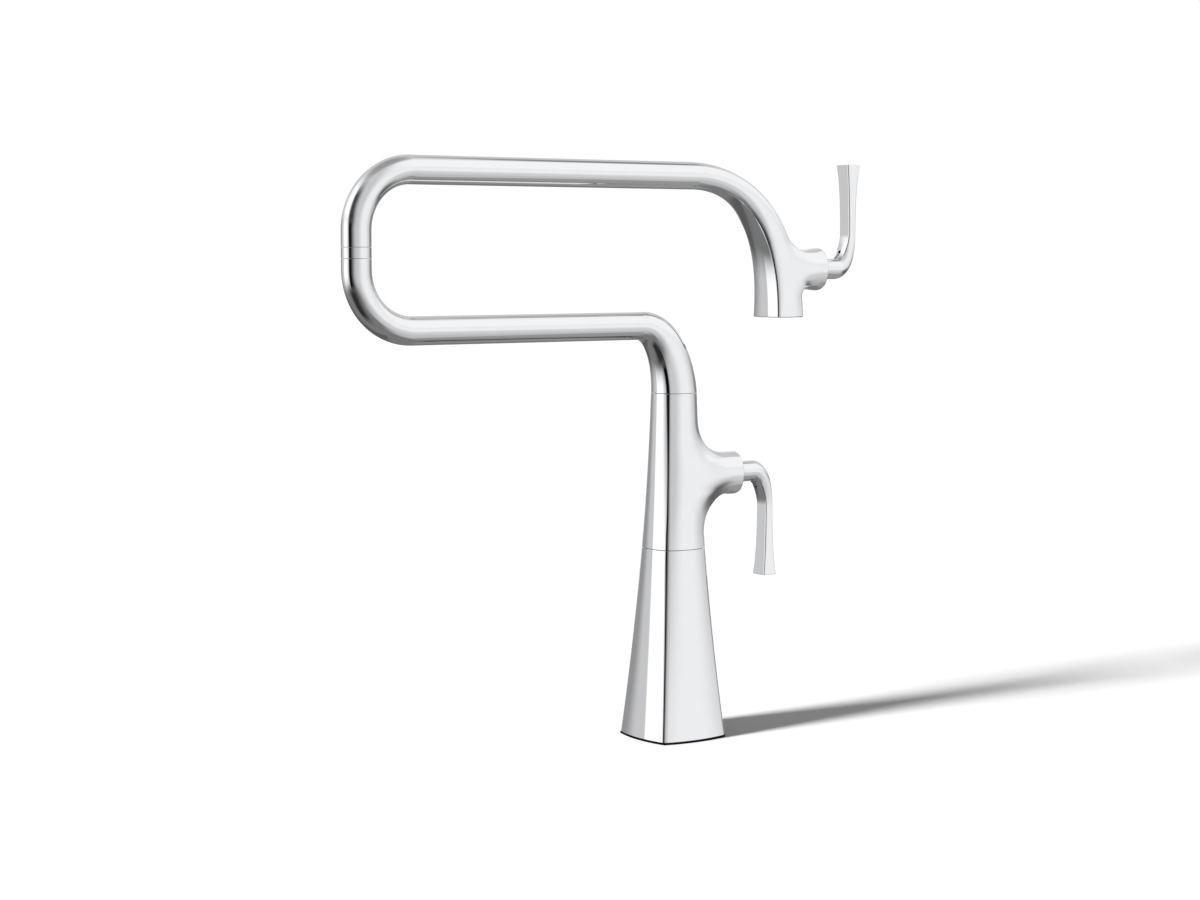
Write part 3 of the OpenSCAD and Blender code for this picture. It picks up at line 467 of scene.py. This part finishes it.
def valve_chamber(hub):
    """The room for the bonnet nut in a hub's end, and the narrower one for the cartridge behind."""
    x, z = hub
    return (cylinder((x - BONNET_L, 0, z), (x + OVER, 0, z), BONNET_R),
            cylinder((x - CHAMBER_L, 0, z), (x - BONNET_L + OVER, 0, z), CHAMBER_R))


def rim_at(axis, *places):
    """A test for the edges that lie at one of these places along an axis."""
    return lambda edge: any(all(lies_at(v, axis, place) for v in edge.verts) for place in places)


def round_rims(obj, *rims):
    """Rounds off the rims at the ends of a form; each is (test for its edges, width)."""
    work = bmesh.new()
    work.from_mesh(obj.data)
    weight = work.edges.layers.float.new("bevel_weight_edge")
    for edge in work.edges:
        if len(edge.link_faces) != 2 or edge.calc_face_angle(0.0) < math.radians(RIM_FROM):
            continue
        for on_rim, width in rims:
            if on_rim(edge):
                edge[weight] = width / RIM_ROUND
    work.to_mesh(obj.data)
    work.free()
    bevel = obj.modifiers.new("rims", "BEVEL")
    bevel.width, bevel.segments, bevel.limit_method = RIM_ROUND * MM, CREASE_N, "WEIGHT"
    bevel.use_clamp_overlap = False


def finish_shell(obj, body, replaced, *tools):
    """Cuts the tools out of a shell, applies its modifiers, and hangs it on its body in place of
    the CAD nodes."""
    for tool in tools:
        cut = obj.modifiers.new("cut", "BOOLEAN")
        cut.object, cut.operation, cut.solver = tool, "DIFFERENCE", "EXACT"
    bpy.context.view_layer.update()
    graph = bpy.context.evaluated_depsgraph_get()
    mesh = bpy.data.meshes.new_from_object(obj.evaluated_get(graph))
    obj.modifiers.clear()
    rough, obj.data = obj.data, mesh
    bpy.data.meshes.remove(rough)
    mesh.name = obj.name
    for tool in tools:
        data = tool.data
        bpy.data.objects.remove(tool)
        bpy.data.meshes.remove(data)
    mesh.polygons.foreach_set("use_smooth", [True] * len(mesh.polygons))
    mesh.set_sharp_from_angle(angle=math.radians(SHARP_FROM))
    obj.modifiers.new("normals", "WEIGHTED_NORMAL").keep_sharp = True
    mesh.materials.clear()
    mesh.materials.append(LOOKS["chrome"])
    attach(obj, body)
    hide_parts(*replaced)


# Materials

# The band of the noise that is spread over a material's range
NOISE_BAND = (0.3, 0.7)
# How fine the noise is, and how strong its bumps are, on the metals and on the others
METAL_DETAIL, DULL_DETAIL, METAL_BUMP, DULL_BUMP = 3.0, 6.0, 1.0, 0.6


def material(name):
    """A material with its tree of nodes and its shader."""
    m = bpy.data.materials.new(name)
    m.use_nodes = True
    tree = m.node_tree
    tree.nodes.clear()
    out = tree.nodes.new("ShaderNodeOutputMaterial")
    shader = tree.nodes.new("ShaderNodeBsdfPrincipled")
    tree.links.new(shader.outputs["BSDF"], out.inputs["Surface"])
    return m, tree, shader


def noise(tree, scale, detail, stretch=(1, 1, 1)):
    """Noise in object space, in steps of 1/scale metres, drawn out along an axis where asked."""
    place = tree.nodes.new("ShaderNodeTexCoord")
    space = tree.nodes.new("ShaderNodeMapping")
    space.inputs["Scale"].default_value = stretch
    n = tree.nodes.new("ShaderNodeTexNoise")
    n.inputs["Scale"].default_value = scale
    n.inputs["Detail"].default_value = detail
    tree.links.new(place.outputs["Object"], space.inputs["Vector"])
    tree.links.new(space.outputs["Vector"], n.inputs["Vector"])
    return n.outputs["Fac"]


def set_gloss(tree, shader, source, low, high):
    """Spreads a noise over a range of roughness."""
    r = tree.nodes.new("ShaderNodeMapRange")
    r.inputs["From Min"].default_value, r.inputs["From Max"].default_value = NOISE_BAND
    r.inputs["To Min"].default_value, r.inputs["To Max"].default_value = low, high
    tree.links.new(source, r.inputs["Value"])
    tree.links.new(r.outputs["Result"], shader.inputs["Roughness"])


def set_tint(tree, shader, source, dark, light):
    """Spreads a noise over a range of colour."""
    r = tree.nodes.new("ShaderNodeValToRGB")
    first, second = r.color_ramp.elements
    first.color, second.color = (*dark, 1), (*light, 1)
    first.position, second.position = NOISE_BAND
    tree.links.new(source, r.inputs["Fac"])
    tree.links.new(r.outputs["Color"], shader.inputs["Base Color"])


def set_bumps(tree, shader, source, strength, height):
    """Raises a noise into bumps of a height in millimetres."""
    b = tree.nodes.new("ShaderNodeBump")
    b.inputs["Strength"].default_value, b.inputs["Distance"].default_value = strength, height * MM
    tree.links.new(source, b.inputs["Height"])
    tree.links.new(b.outputs["Normal"], shader.inputs["Normal"])


def metal(name, dark, light, rough, grain, stretch=(1, 1, 1), ripple=0.0):
    """A metal whose gloss and tint vary a little over grain, with an optional fine ripple."""
    m, tree, shader = material(name)
    shader.inputs["Metallic"].default_value = 1.0
    source = noise(tree, grain, METAL_DETAIL, stretch)
    set_tint(tree, shader, source, dark, light)
    set_gloss(tree, shader, source, *rough)
    if ripple:
        set_bumps(tree, shader, source, METAL_BUMP, ripple)
    return m


def dull(name, dark, light, rough, grain, height, specular=0.5):
    """A non-metal with a fine grain."""
    m, tree, shader = material(name)
    shader.inputs["Specular IOR Level"].default_value = specular
    source = noise(tree, grain, DULL_DETAIL)
    set_tint(tree, shader, source, dark, light)
    set_gloss(tree, shader, source, *rough)
    set_bumps(tree, shader, source, DULL_BUMP, height)
    return m


LOOKS = {
    "chrome": metal(
        "polished_chrome", dark=(0.932, 0.938, 0.957), light=(0.947, 0.952, 0.969),
        rough=(0.012, 0.03), grain=60.0),
    "brass": metal(
        "turned_brass", dark=(0.62, 0.45, 0.19), light=(0.78, 0.60, 0.30),
        rough=(0.22, 0.34), grain=900.0, stretch=(1, 1, 8), ripple=0.01),
    "steel": metal(
        "satin_steel", dark=(0.50, 0.51, 0.53), light=(0.62, 0.63, 0.65),
        rough=(0.26, 0.40), grain=1400.0, stretch=(1, 1, 6), ripple=0.01),
    "rubber": dull(
        "black_rubber", dark=(0.002, 0.002, 0.002), light=(0.006, 0.006, 0.006),
        rough=(0.6, 0.8), grain=1800.0, height=0.03, specular=0.08),
    "ceramic": dull(
        "ground_ceramic", dark=(0.84, 0.83, 0.79), light=(0.92, 0.91, 0.88),
        rough=(0.25, 0.4), grain=2500.0, height=0.003),
    "ptfe": dull(
        "white_ptfe", dark=(0.80, 0.80, 0.77), light=(0.88, 0.88, 0.86),
        rough=(0.45, 0.6), grain=1200.0, height=0.01),
    "plastic": dull(
        "grey_plastic", dark=(0.05, 0.052, 0.057), light=(0.075, 0.078, 0.085),
        rough=(0.4, 0.55), grain=1600.0, height=0.01),
}
for subpart in frame["record"]["subparts"]:
    mesh = nodes[subpart["node"]].data
    mesh.materials.clear()
    mesh.materials.append(LOOKS[subpart["material_slot"]])

# Base cover, open below and hollow up to the wall under its socket
inner_top = COVER_TOP_Z - SOCKET_H - COVER_WALL
cover = loft("base_cover_shell", [
    ring(column_section(z), 2 * SIDE_N, 2 * SIDE_N, BODY_ROUND)
    for z in np.linspace(GASKET_T, COVER_TOP_Z - COVER_SEAM, COVER_RINGS)],
    corners(2 * SIDE_N, 2 * SIDE_N), BODY_ROUND)
round_rims(cover, (rim_at(Z, GASKET_T, COVER_TOP_Z - COVER_SEAM), SEAM_RIM))
hollow = loft("hollow", [
    ring(column_section(z, COVER_WALL), SIDE_N, SIDE_N, 0)
    for z in np.linspace(GASKET_T - OVER, inner_top, HOLLOW_RINGS)])
finish_shell(cover, "column", ["base_cover"], hollow,
             upright(0, inner_top - OVER, COVER_TOP_Z + OVER, SOCKET_R))

# Column body with its hub
BODY_CORNERS = corners(FACE_N, SIDE_N)
column = loft(
    "column_shell", valve_rings(column_leg, LOWER_HUB, LOWER_SWEEP_R, LOWER_SWEEP_R, BODY_ROUND),
    BODY_CORNERS, BODY_ROUND, LOWER_HUB[0])
round_rims(column, (rim_at(Z, COVER_TOP_Z, NECK_Z), SEAM_RIM), (rim_at(X, LOWER_HUB[0]), HUB_RIM))
finish_shell(column, "column", ["column_body"], *valve_chamber(LOWER_HUB),
             upright(0, NECK_Z - NECK_BORE_L, NECK_Z + OVER, SPIGOT_R))

# Lower arm: neck, level tube and elbow
NECK_FOOT_Z = NECK_Z + NECK_GAP
NECK_AXIS = [np.array(p) for p in (
    (0, NECK_FOOT_Z), (0, NECK_FOOT_Z + NECK_PULL),
    (-NECK_RUN * (1 - ARM_PULL_SHARE), LOWER_ARM_Z), (-NECK_RUN, LOWER_ARM_Z))]
ELBOW_X = -LOWER_REACH + ELBOW_BEND_R


def body_ring(section):
    """A ring with as many points as those of valve_rings()."""
    return ring(section, FACE_N, SIDE_N, BODY_ROUND)


def tube_ring(at, out):
    return body_ring(Section(at, out, TUBE_HALF, TUBE_HALF, TUBE_BOW, TUBE_BOW))


def neck_ring(t):
    """A ring of the neck, which turns from the column's section into the tube's."""
    half, bow = ease(NECK_HALF, NECK_MID_HALF, TUBE_HALF, t), ease(SIDE_BOW, SIDE_BOW, TUBE_BOW, t)
    return body_ring(Section(curve(NECK_AXIS, t), out_of(heading(NECK_AXIS, t)), half, half, bow, bow))


def straight(start, end, n):
    """Rings along a straight run of tube between two points, without its ends."""
    start, end = np.array(start, float), np.array(end, float)
    return [tube_ring(mix(start, end, k), out_of(unit(end - start)))
            for k in np.linspace(0, 1, n + 2)[1:-1]]


def elbow_bend(z, start, end):
    """Rings round one of the elbow's bends, with its centre at height z, between two angles."""
    rings = []
    for a in np.linspace(math.radians(start), math.radians(end), BEND_RINGS):
        ray = np.array([math.cos(a), math.sin(a)])
        along = math.copysign(1, end - start) * np.array([-ray[1], ray[0]])
        rings.append(tube_ring(np.array([ELBOW_X, z]) + ELBOW_BEND_R * ray, out_of(along)))
    return rings


lower_bend_z = LOWER_ARM_Z + ELBOW_BEND_R
lower = [neck_ring(t) for t in np.linspace(0, 1, NECK_RINGS)]
lower += straight((-NECK_RUN, LOWER_ARM_Z), (ELBOW_X, LOWER_ARM_Z), LOWER_RUN_RINGS)
lower += elbow_bend(lower_bend_z, 270, 180)
lower += straight((-LOWER_REACH, lower_bend_z), (-LOWER_REACH, COLLAR_Z), RISE_RINGS)
lower.append(tube_ring(np.array([-LOWER_REACH, COLLAR_Z]), np.array([1.0, 0.0])))
arm = loft("lower_arm_shell", lower, BODY_CORNERS, BODY_ROUND)
round_rims(arm, (rim_at(Z, NECK_FOOT_Z, COLLAR_Z), SEAM_RIM))
finish_shell(
    arm, "lower_arm", ["lower_arm_tube"],
    upright(0, NECK_Z, NECK_Z + SPIGOT_UP, SPIGOT_R + RUN_GAP + SOCKET_WALL),
    upright(0, NECK_Z + SPIGOT_UP - OVER, NECK_Z + SPIGOT_UP + SPIGOT_WAY_L, SPIGOT_BORE_R),
    upright(-LOWER_REACH, COLLAR_Z - ELBOW_ROOT, COLLAR_Z + OVER, TUBE_BORE_R))

# Upper arm and spout, one form from the outlet over to the elbow
UPPER_FOOT_Z = COLLAR_Z + COLLAR_H + ELBOW_GAP
upper_bend_z = UPPER_ARM_Z - ELBOW_BEND_R
upper = valve_rings(spout_leg, UPPER_HUB, UNDER_SWEEP_R, UPPER_SWEEP_R, SPOUT_ROUND)
upper += straight((SPOUT_START_X, UPPER_ARM_Z), (ELBOW_X, UPPER_ARM_Z), UPPER_RUN_RINGS)
upper += elbow_bend(upper_bend_z, 90, 180)
upper += straight((-LOWER_REACH, upper_bend_z), (-LOWER_REACH, UPPER_FOOT_Z), RISE_RINGS)
upper.append(tube_ring(np.array([-LOWER_REACH, UPPER_FOOT_Z]), np.array([-1.0, 0.0])))
arm = loft("upper_arm_shell", upper, BODY_CORNERS, SPOUT_ROUND, UPPER_HUB[0])
round_rims(arm, (rim_at(Z, OUTLET_Z), OUTLET_RIM), (rim_at(Z, UPPER_FOOT_Z), SEAM_RIM),
           (rim_at(X, UPPER_HUB[0]), HUB_RIM))
finish_shell(
    arm, "upper_arm", ["upper_arm_tube", "spout_body"], *valve_chamber(UPPER_HUB),
    upright(SPOUT_X, OUTLET_Z - OVER, OUTLET_Z + AERATOR_DEPTH, AERATOR_R),
    upright(-LOWER_REACH, UPPER_FOOT_Z - OVER, UPPER_FOOT_Z + ELBOW_SPIGOT_UP, TUBE_BORE_R))

# Levers, along an axis that runs out from the hub's end and then bends down
STEM_HALF = LEVER_STEM_R * ROOT_HALF
STEM_BOW = LEVER_STEM_R - STEM_HALF
BEND_FROM = np.array([LEVER_REACH * BEND_OUT_SHARE, 0.0])
BEND_TO = np.array([LEVER_REACH, -LEVER_DROP * BEND_DROP_SHARE])
LEVER_AXIS = [
    BEND_FROM, BEND_FROM + np.array([LEVER_REACH * STEM_PULL_SHARE, 0]),
    BEND_TO + np.array([0, LEVER_DROP * BLADE_PULL_SHARE]), BEND_TO]
BEND_L = float(np.linalg.norm(BEND_TO - BEND_FROM)) * BEND_ARC_SHARE
BLADE_L = LEVER_DROP * (1 - BEND_DROP_SHARE)


def lever_ring(at, out, flat, far):
    """A ring of a lever: flat is 0 on the stem and 1 on the blade, and far is from the bend's start."""
    flare = (max(0.0, far - BEND_L / 2) / (BEND_L / 2 + BLADE_L)) ** FLARE_POWER
    half_w, half_y = (mix(STEM_HALF, thin, flat) + (end - thin) * flare
                      for thin, end in zip(BLADE_HALF, BLADE_END))
    bow = mix(STEM_BOW, BLADE_BOW, flat)
    return ring(Section(at, out, half_w, half_y, bow, bow), SIDE_N, SIDE_N, LEVER_ROUND)


def lever(name, body, node, hub, up):
    """A lever on a hub's end, whose blade stands up or hangs down."""
    rings = [lever_ring(np.array([x, 0.0]), np.array([0.0, -1.0]), 0.0, 0.0)
             for x in np.linspace(-STEM_IN, BEND_FROM[0], STEM_RINGS)[:-1]]
    rings += [lever_ring(curve(LEVER_AXIS, t), out_of(heading(LEVER_AXIS, t)), smooth(t), t * BEND_L)
              for t in np.linspace(0, 1, CROOK_RINGS)]
    rings += [lever_ring(BEND_TO - np.array([0, far]), np.array([-1.0, 0.0]), 1.0, BEND_L + far)
              for far in BLADE_L * np.linspace(0, 1, BLADE_RINGS)[1:]]
    flip = np.array([1, 1, -1 if up else 1])
    place = np.array([hub[0], 0, hub[1]])

    def at(x, z):
        return np.array([x, 0, z]) * flip + place

    def on_screw(far):
        return at(GRUB_AT + far * ROOT_HALF, -far * ROOT_HALF)

    obj = loft(name, [points * flip + place for points in rings], corners(SIDE_N, SIDE_N), LEVER_ROUND)
    round_rims(obj, (rim_at(Z, at(0, -LEVER_DROP)[Z]), BLADE_RIM))
    finish_shell(obj, body, [node],
                 cylinder(at(-STEM_IN - OVER, 0), at(SPINDLE_OUT, 0), SPINDLE_R),
                 cylinder(on_screw(GRUB_FROM), on_screw(GRUB_TO), GRUB_R))


lever("lower_lever_shell", "lower_handle", "lower_lever", LOWER_HUB, up=False)
lever("upper_lever_shell", "upper_handle", "upper_lever", UPPER_HUB, up=True)

# Collar between the two elbows
collar_span = (COLLAR_Z + ELBOW_GAP, COLLAR_Z + COLLAR_H)
collar = turned("elbow_collar_shell", [
    (ELBOW_SPIGOT_R, collar_span[0]), (TUBE_R, collar_span[0]),
    (TUBE_R, collar_span[1]), (ELBOW_SPIGOT_R, collar_span[1])], -LOWER_REACH)
round_rims(collar, (rim_at(Z, *collar_span), SEAM_RIM))
finish_shell(collar, "lower_arm", ["elbow_collar"])

# Studio: the room that the chrome reflects, a pale floor, and one low lamp for the shadow
# Greys of 0 to 255, with the sines of height over which one fades into the next
FLOOR_GREY, WALL_GREY, CEILING_GREY = 116, 196, 150
WALL_FADE, CEILING_FADE = (-0.45, -0.12), (0.84, 0.99)
ROOM_GAIN, WHITE = 1.07, 1.02
TURN = 360.0
# Panels, each with its grey, the angle of its centre from +X, and the four fades of hang()
PANELS = [
    # Light that comes up from the floor on the right of the camera
    (204, -62, (68, 5), (14, 52), (-0.66, -0.50), (-0.12, 0.06)),
    (186, -56, (40, 4), (12, 54), (-0.88, -0.70), (-0.56, -0.40)),
    # The wide soft box above it
    (236, -62, (48, 8), (12, 60), (-0.30, -0.06), (0.10, 0.40)),
    (242, -42, (55, 14), (22, 56), (0.06, 0.38), (0.80, 0.93)),
    # White sheet on the left
    (255, 150, (14, 12), (18, 32), (-0.42, -0.10), (0.12, 0.34)),
    (254, 148, (42, 8), (16, 46), (0.08, 0.34), (0.70, 0.93)),
    # White sheet behind the object, and the grey gap between the two
    (255, 60, (22, 8), (18, 34), (-0.45, -0.20), (0.45, 0.72)),
    (146, 97, (13, 6), (6, 28), (-1.2, -1.1), (0.04, 0.22)),
    (88, 92, (30, 10), (10, 36), (-1.2, -1.1), (-0.32, -0.12)),
    # The darker right side
    (130, 10, (22, 6), (16, 40), (-0.95, -0.60), (0.02, 0.22)),
    (146, -5, (40, 36), (30, 50), (-0.86, -0.78), (-0.66, -0.60)),
    (96, -8, (32, 12), (20, 44), (-0.60, -0.40), (-0.36, -0.20)),
    # The black flag on the left of the camera
    (66, -166, (24, 5), (4, 52), (0.02, 0.30), (0.62, 0.95)),
    (10, -166, (12, 5), (2, 52), (-0.50, -0.30), (0.10, 0.42)),
    # A thin dark bar high up on the right
    (136, 11, (16, 8), (8, 18), (0.765, 0.79), (0.83, 0.86)),
    # The dark floor below the flag
    (44, -168, (40, 10), (4, 60), (-0.97, -0.80), (-0.50, -0.30)),
]

world = bpy.data.worlds.new("studio")
bpy.context.scene.world = world
world.use_nodes = True
room = world.node_tree
room.nodes.clear()


def level(grey):
    """The light that a grey of 0 to 255 stands for."""
    c = grey / 255
    return c / 12.92 if c < 0.04045 else ((c + 0.055) / 1.055) ** 2.4


def math_node(op, *values):
    n = room.nodes.new("ShaderNodeMath")
    n.operation = op
    for i, v in enumerate(values):
        if isinstance(v, (int, float)):
            n.inputs[i].default_value = v
        else:
            room.links.new(v, n.inputs[i])
    return n.outputs[0]


def blend(a, b, factor):
    """a + (b - a) * factor for two single values."""
    return math_node("ADD", a, math_node("MULTIPLY", math_node("SUBTRACT", b, a), factor))


def fade_in(source, low, high):
    r = room.nodes.new("ShaderNodeMapRange")
    r.interpolation_type = "SMOOTHSTEP"
    r.inputs["From Min"].default_value, r.inputs["From Max"].default_value = low, high
    room.links.new(source, r.inputs["Value"])
    return r.outputs["Result"]


def fade_out(source, low, high):
    return math_node("SUBTRACT", 1.0, fade_in(source, low, high))


def hang(light, grey, centre, before, after, foot, top):
    """Hangs a panel in the room. Round the room it fades in between the two angles before its
    centre and out between the two after it; foot and top are such pairs as sines of the height."""
    turned_to = math_node("ADD", azimuth, 1.5 * TURN - centre)
    off = math_node("SUBTRACT", math_node("MODULO", turned_to, TURN), TURN / 2)
    mask = math_node("MULTIPLY", fade_in(off, -before[0], -before[1]), fade_out(off, *after))
    mask = math_node("MULTIPLY", mask, fade_in(dz, *foot))
    mask = math_node("MULTIPLY", mask, fade_out(dz, *top))
    return blend(light, level(grey), mask)


place = room.nodes.new("ShaderNodeTexCoord")
split = room.nodes.new("ShaderNodeSeparateXYZ")
room.links.new(place.outputs["Generated"], split.inputs["Vector"])
dx, dy, dz = split.outputs
azimuth = math_node("MULTIPLY", math_node("ARCTAN2", dy, dx), 180 / math.pi)
light = blend(level(FLOOR_GREY), level(WALL_GREY), fade_in(dz, *WALL_FADE))
light = blend(light, level(CEILING_GREY), fade_in(dz, *CEILING_FADE))
for panel in PANELS:
    light = hang(light, *panel)

# The chrome sees the room, and the camera sees plain white
reflected = room.nodes.new("ShaderNodeBackground")
room.links.new(math_node("MULTIPLY", light, ROOM_GAIN), reflected.inputs["Color"])
plain = room.nodes.new("ShaderNodeBackground")
plain.inputs["Color"].default_value = (WHITE, WHITE, WHITE, 1)
rays = room.nodes.new("ShaderNodeLightPath")
pick = room.nodes.new("ShaderNodeMixShader")
out = room.nodes.new("ShaderNodeOutputWorld")
mirrored = math_node("MAXIMUM", rays.outputs["Is Glossy Ray"], rays.outputs["Is Transmission Ray"])
room.links.new(mirrored, pick.inputs["Fac"])
room.links.new(plain.outputs["Background"], pick.inputs[1])
room.links.new(reflected.outputs["Background"], pick.inputs[2])
room.links.new(pick.outputs["Shader"], out.inputs["Surface"])

# Floor, a little below the object's seat, which the chrome doesn't see; its radius is in metres
FLOOR_R, FLOOR_DROP, FLOOR_TONE = 40.0, 0.2, 0.22
work = bmesh.new()
bmesh.ops.create_circle(work, cap_ends=True, segments=ROUND_N, radius=FLOOR_R,
                        matrix=Matrix.Translation((0, 0, -FLOOR_DROP * MM)))
floor = add_mesh("floor", work)
floor.visible_glossy = False
pale, _, shader = material("pale_floor")
shader.inputs["Base Color"].default_value = (FLOOR_TONE, FLOOR_TONE, FLOOR_TONE, 1)
shader.inputs["Roughness"].default_value = 1.0
shader.inputs["Specular IOR Level"].default_value = 0.0
floor.data.materials.append(pale)

# Low lamp, which lights nothing but the floor and by itself brings it to this share of white
LAMP_SHARE = 0.82
# Its height, the way it stands from +X and its width, in degrees
LAMP_HEIGHT, LAMP_AZIMUTH, LAMP_WIDTH = 30, 180.3, 9.5
height, around = math.radians(LAMP_HEIGHT), math.radians(LAMP_AZIMUTH)
lamp_data = bpy.data.lights.new("low_lamp", "SUN")
lamp_data.angle = math.radians(LAMP_WIDTH)
lamp_data.energy = LAMP_SHARE / FLOOR_TONE * math.pi / math.sin(height)
lamp = add("low_lamp", lamp_data)
away = Vector((math.cos(around) * math.cos(height), math.sin(around) * math.cos(height), math.sin(height)))
lamp.rotation_euler = away.to_track_quat("Z", "Y").to_euler()
lit = bpy.data.collections.new("lit_by_low_lamp")
lit.objects.link(floor)
lamp.light_linking.receiver_collection = lit

# Camera, at the photograph's place, in metres
CAMERA = Vector((-1.0991, -1.4926, 0.37925))
YAW, PITCH = math.radians(34.600), math.radians(4.753)
LENS, SENSOR = 71.42, 36.0
cam_data = bpy.data.cameras.new("camera")
cam_data.lens, cam_data.sensor_width = LENS, SENSOR
cam = add("camera", cam_data)
ahead = Vector((math.sin(YAW) * math.cos(PITCH), math.cos(YAW) * math.cos(PITCH), -math.sin(PITCH)))
right = Vector((math.cos(YAW), -math.sin(YAW), 0))
up = right.cross(ahead)
cam.matrix_world = Matrix((
    (right.x, up.x, -ahead.x, CAMERA.x), (right.y, up.y, -ahead.y, CAMERA.y),
    (right.z, up.z, -ahead.z, CAMERA.z), (0, 0, 0, 1)))
bpy.context.scene.camera = cam
bpy.context.scene.view_settings.view_transform = "Standard"

bpy.context.view_layer.update()
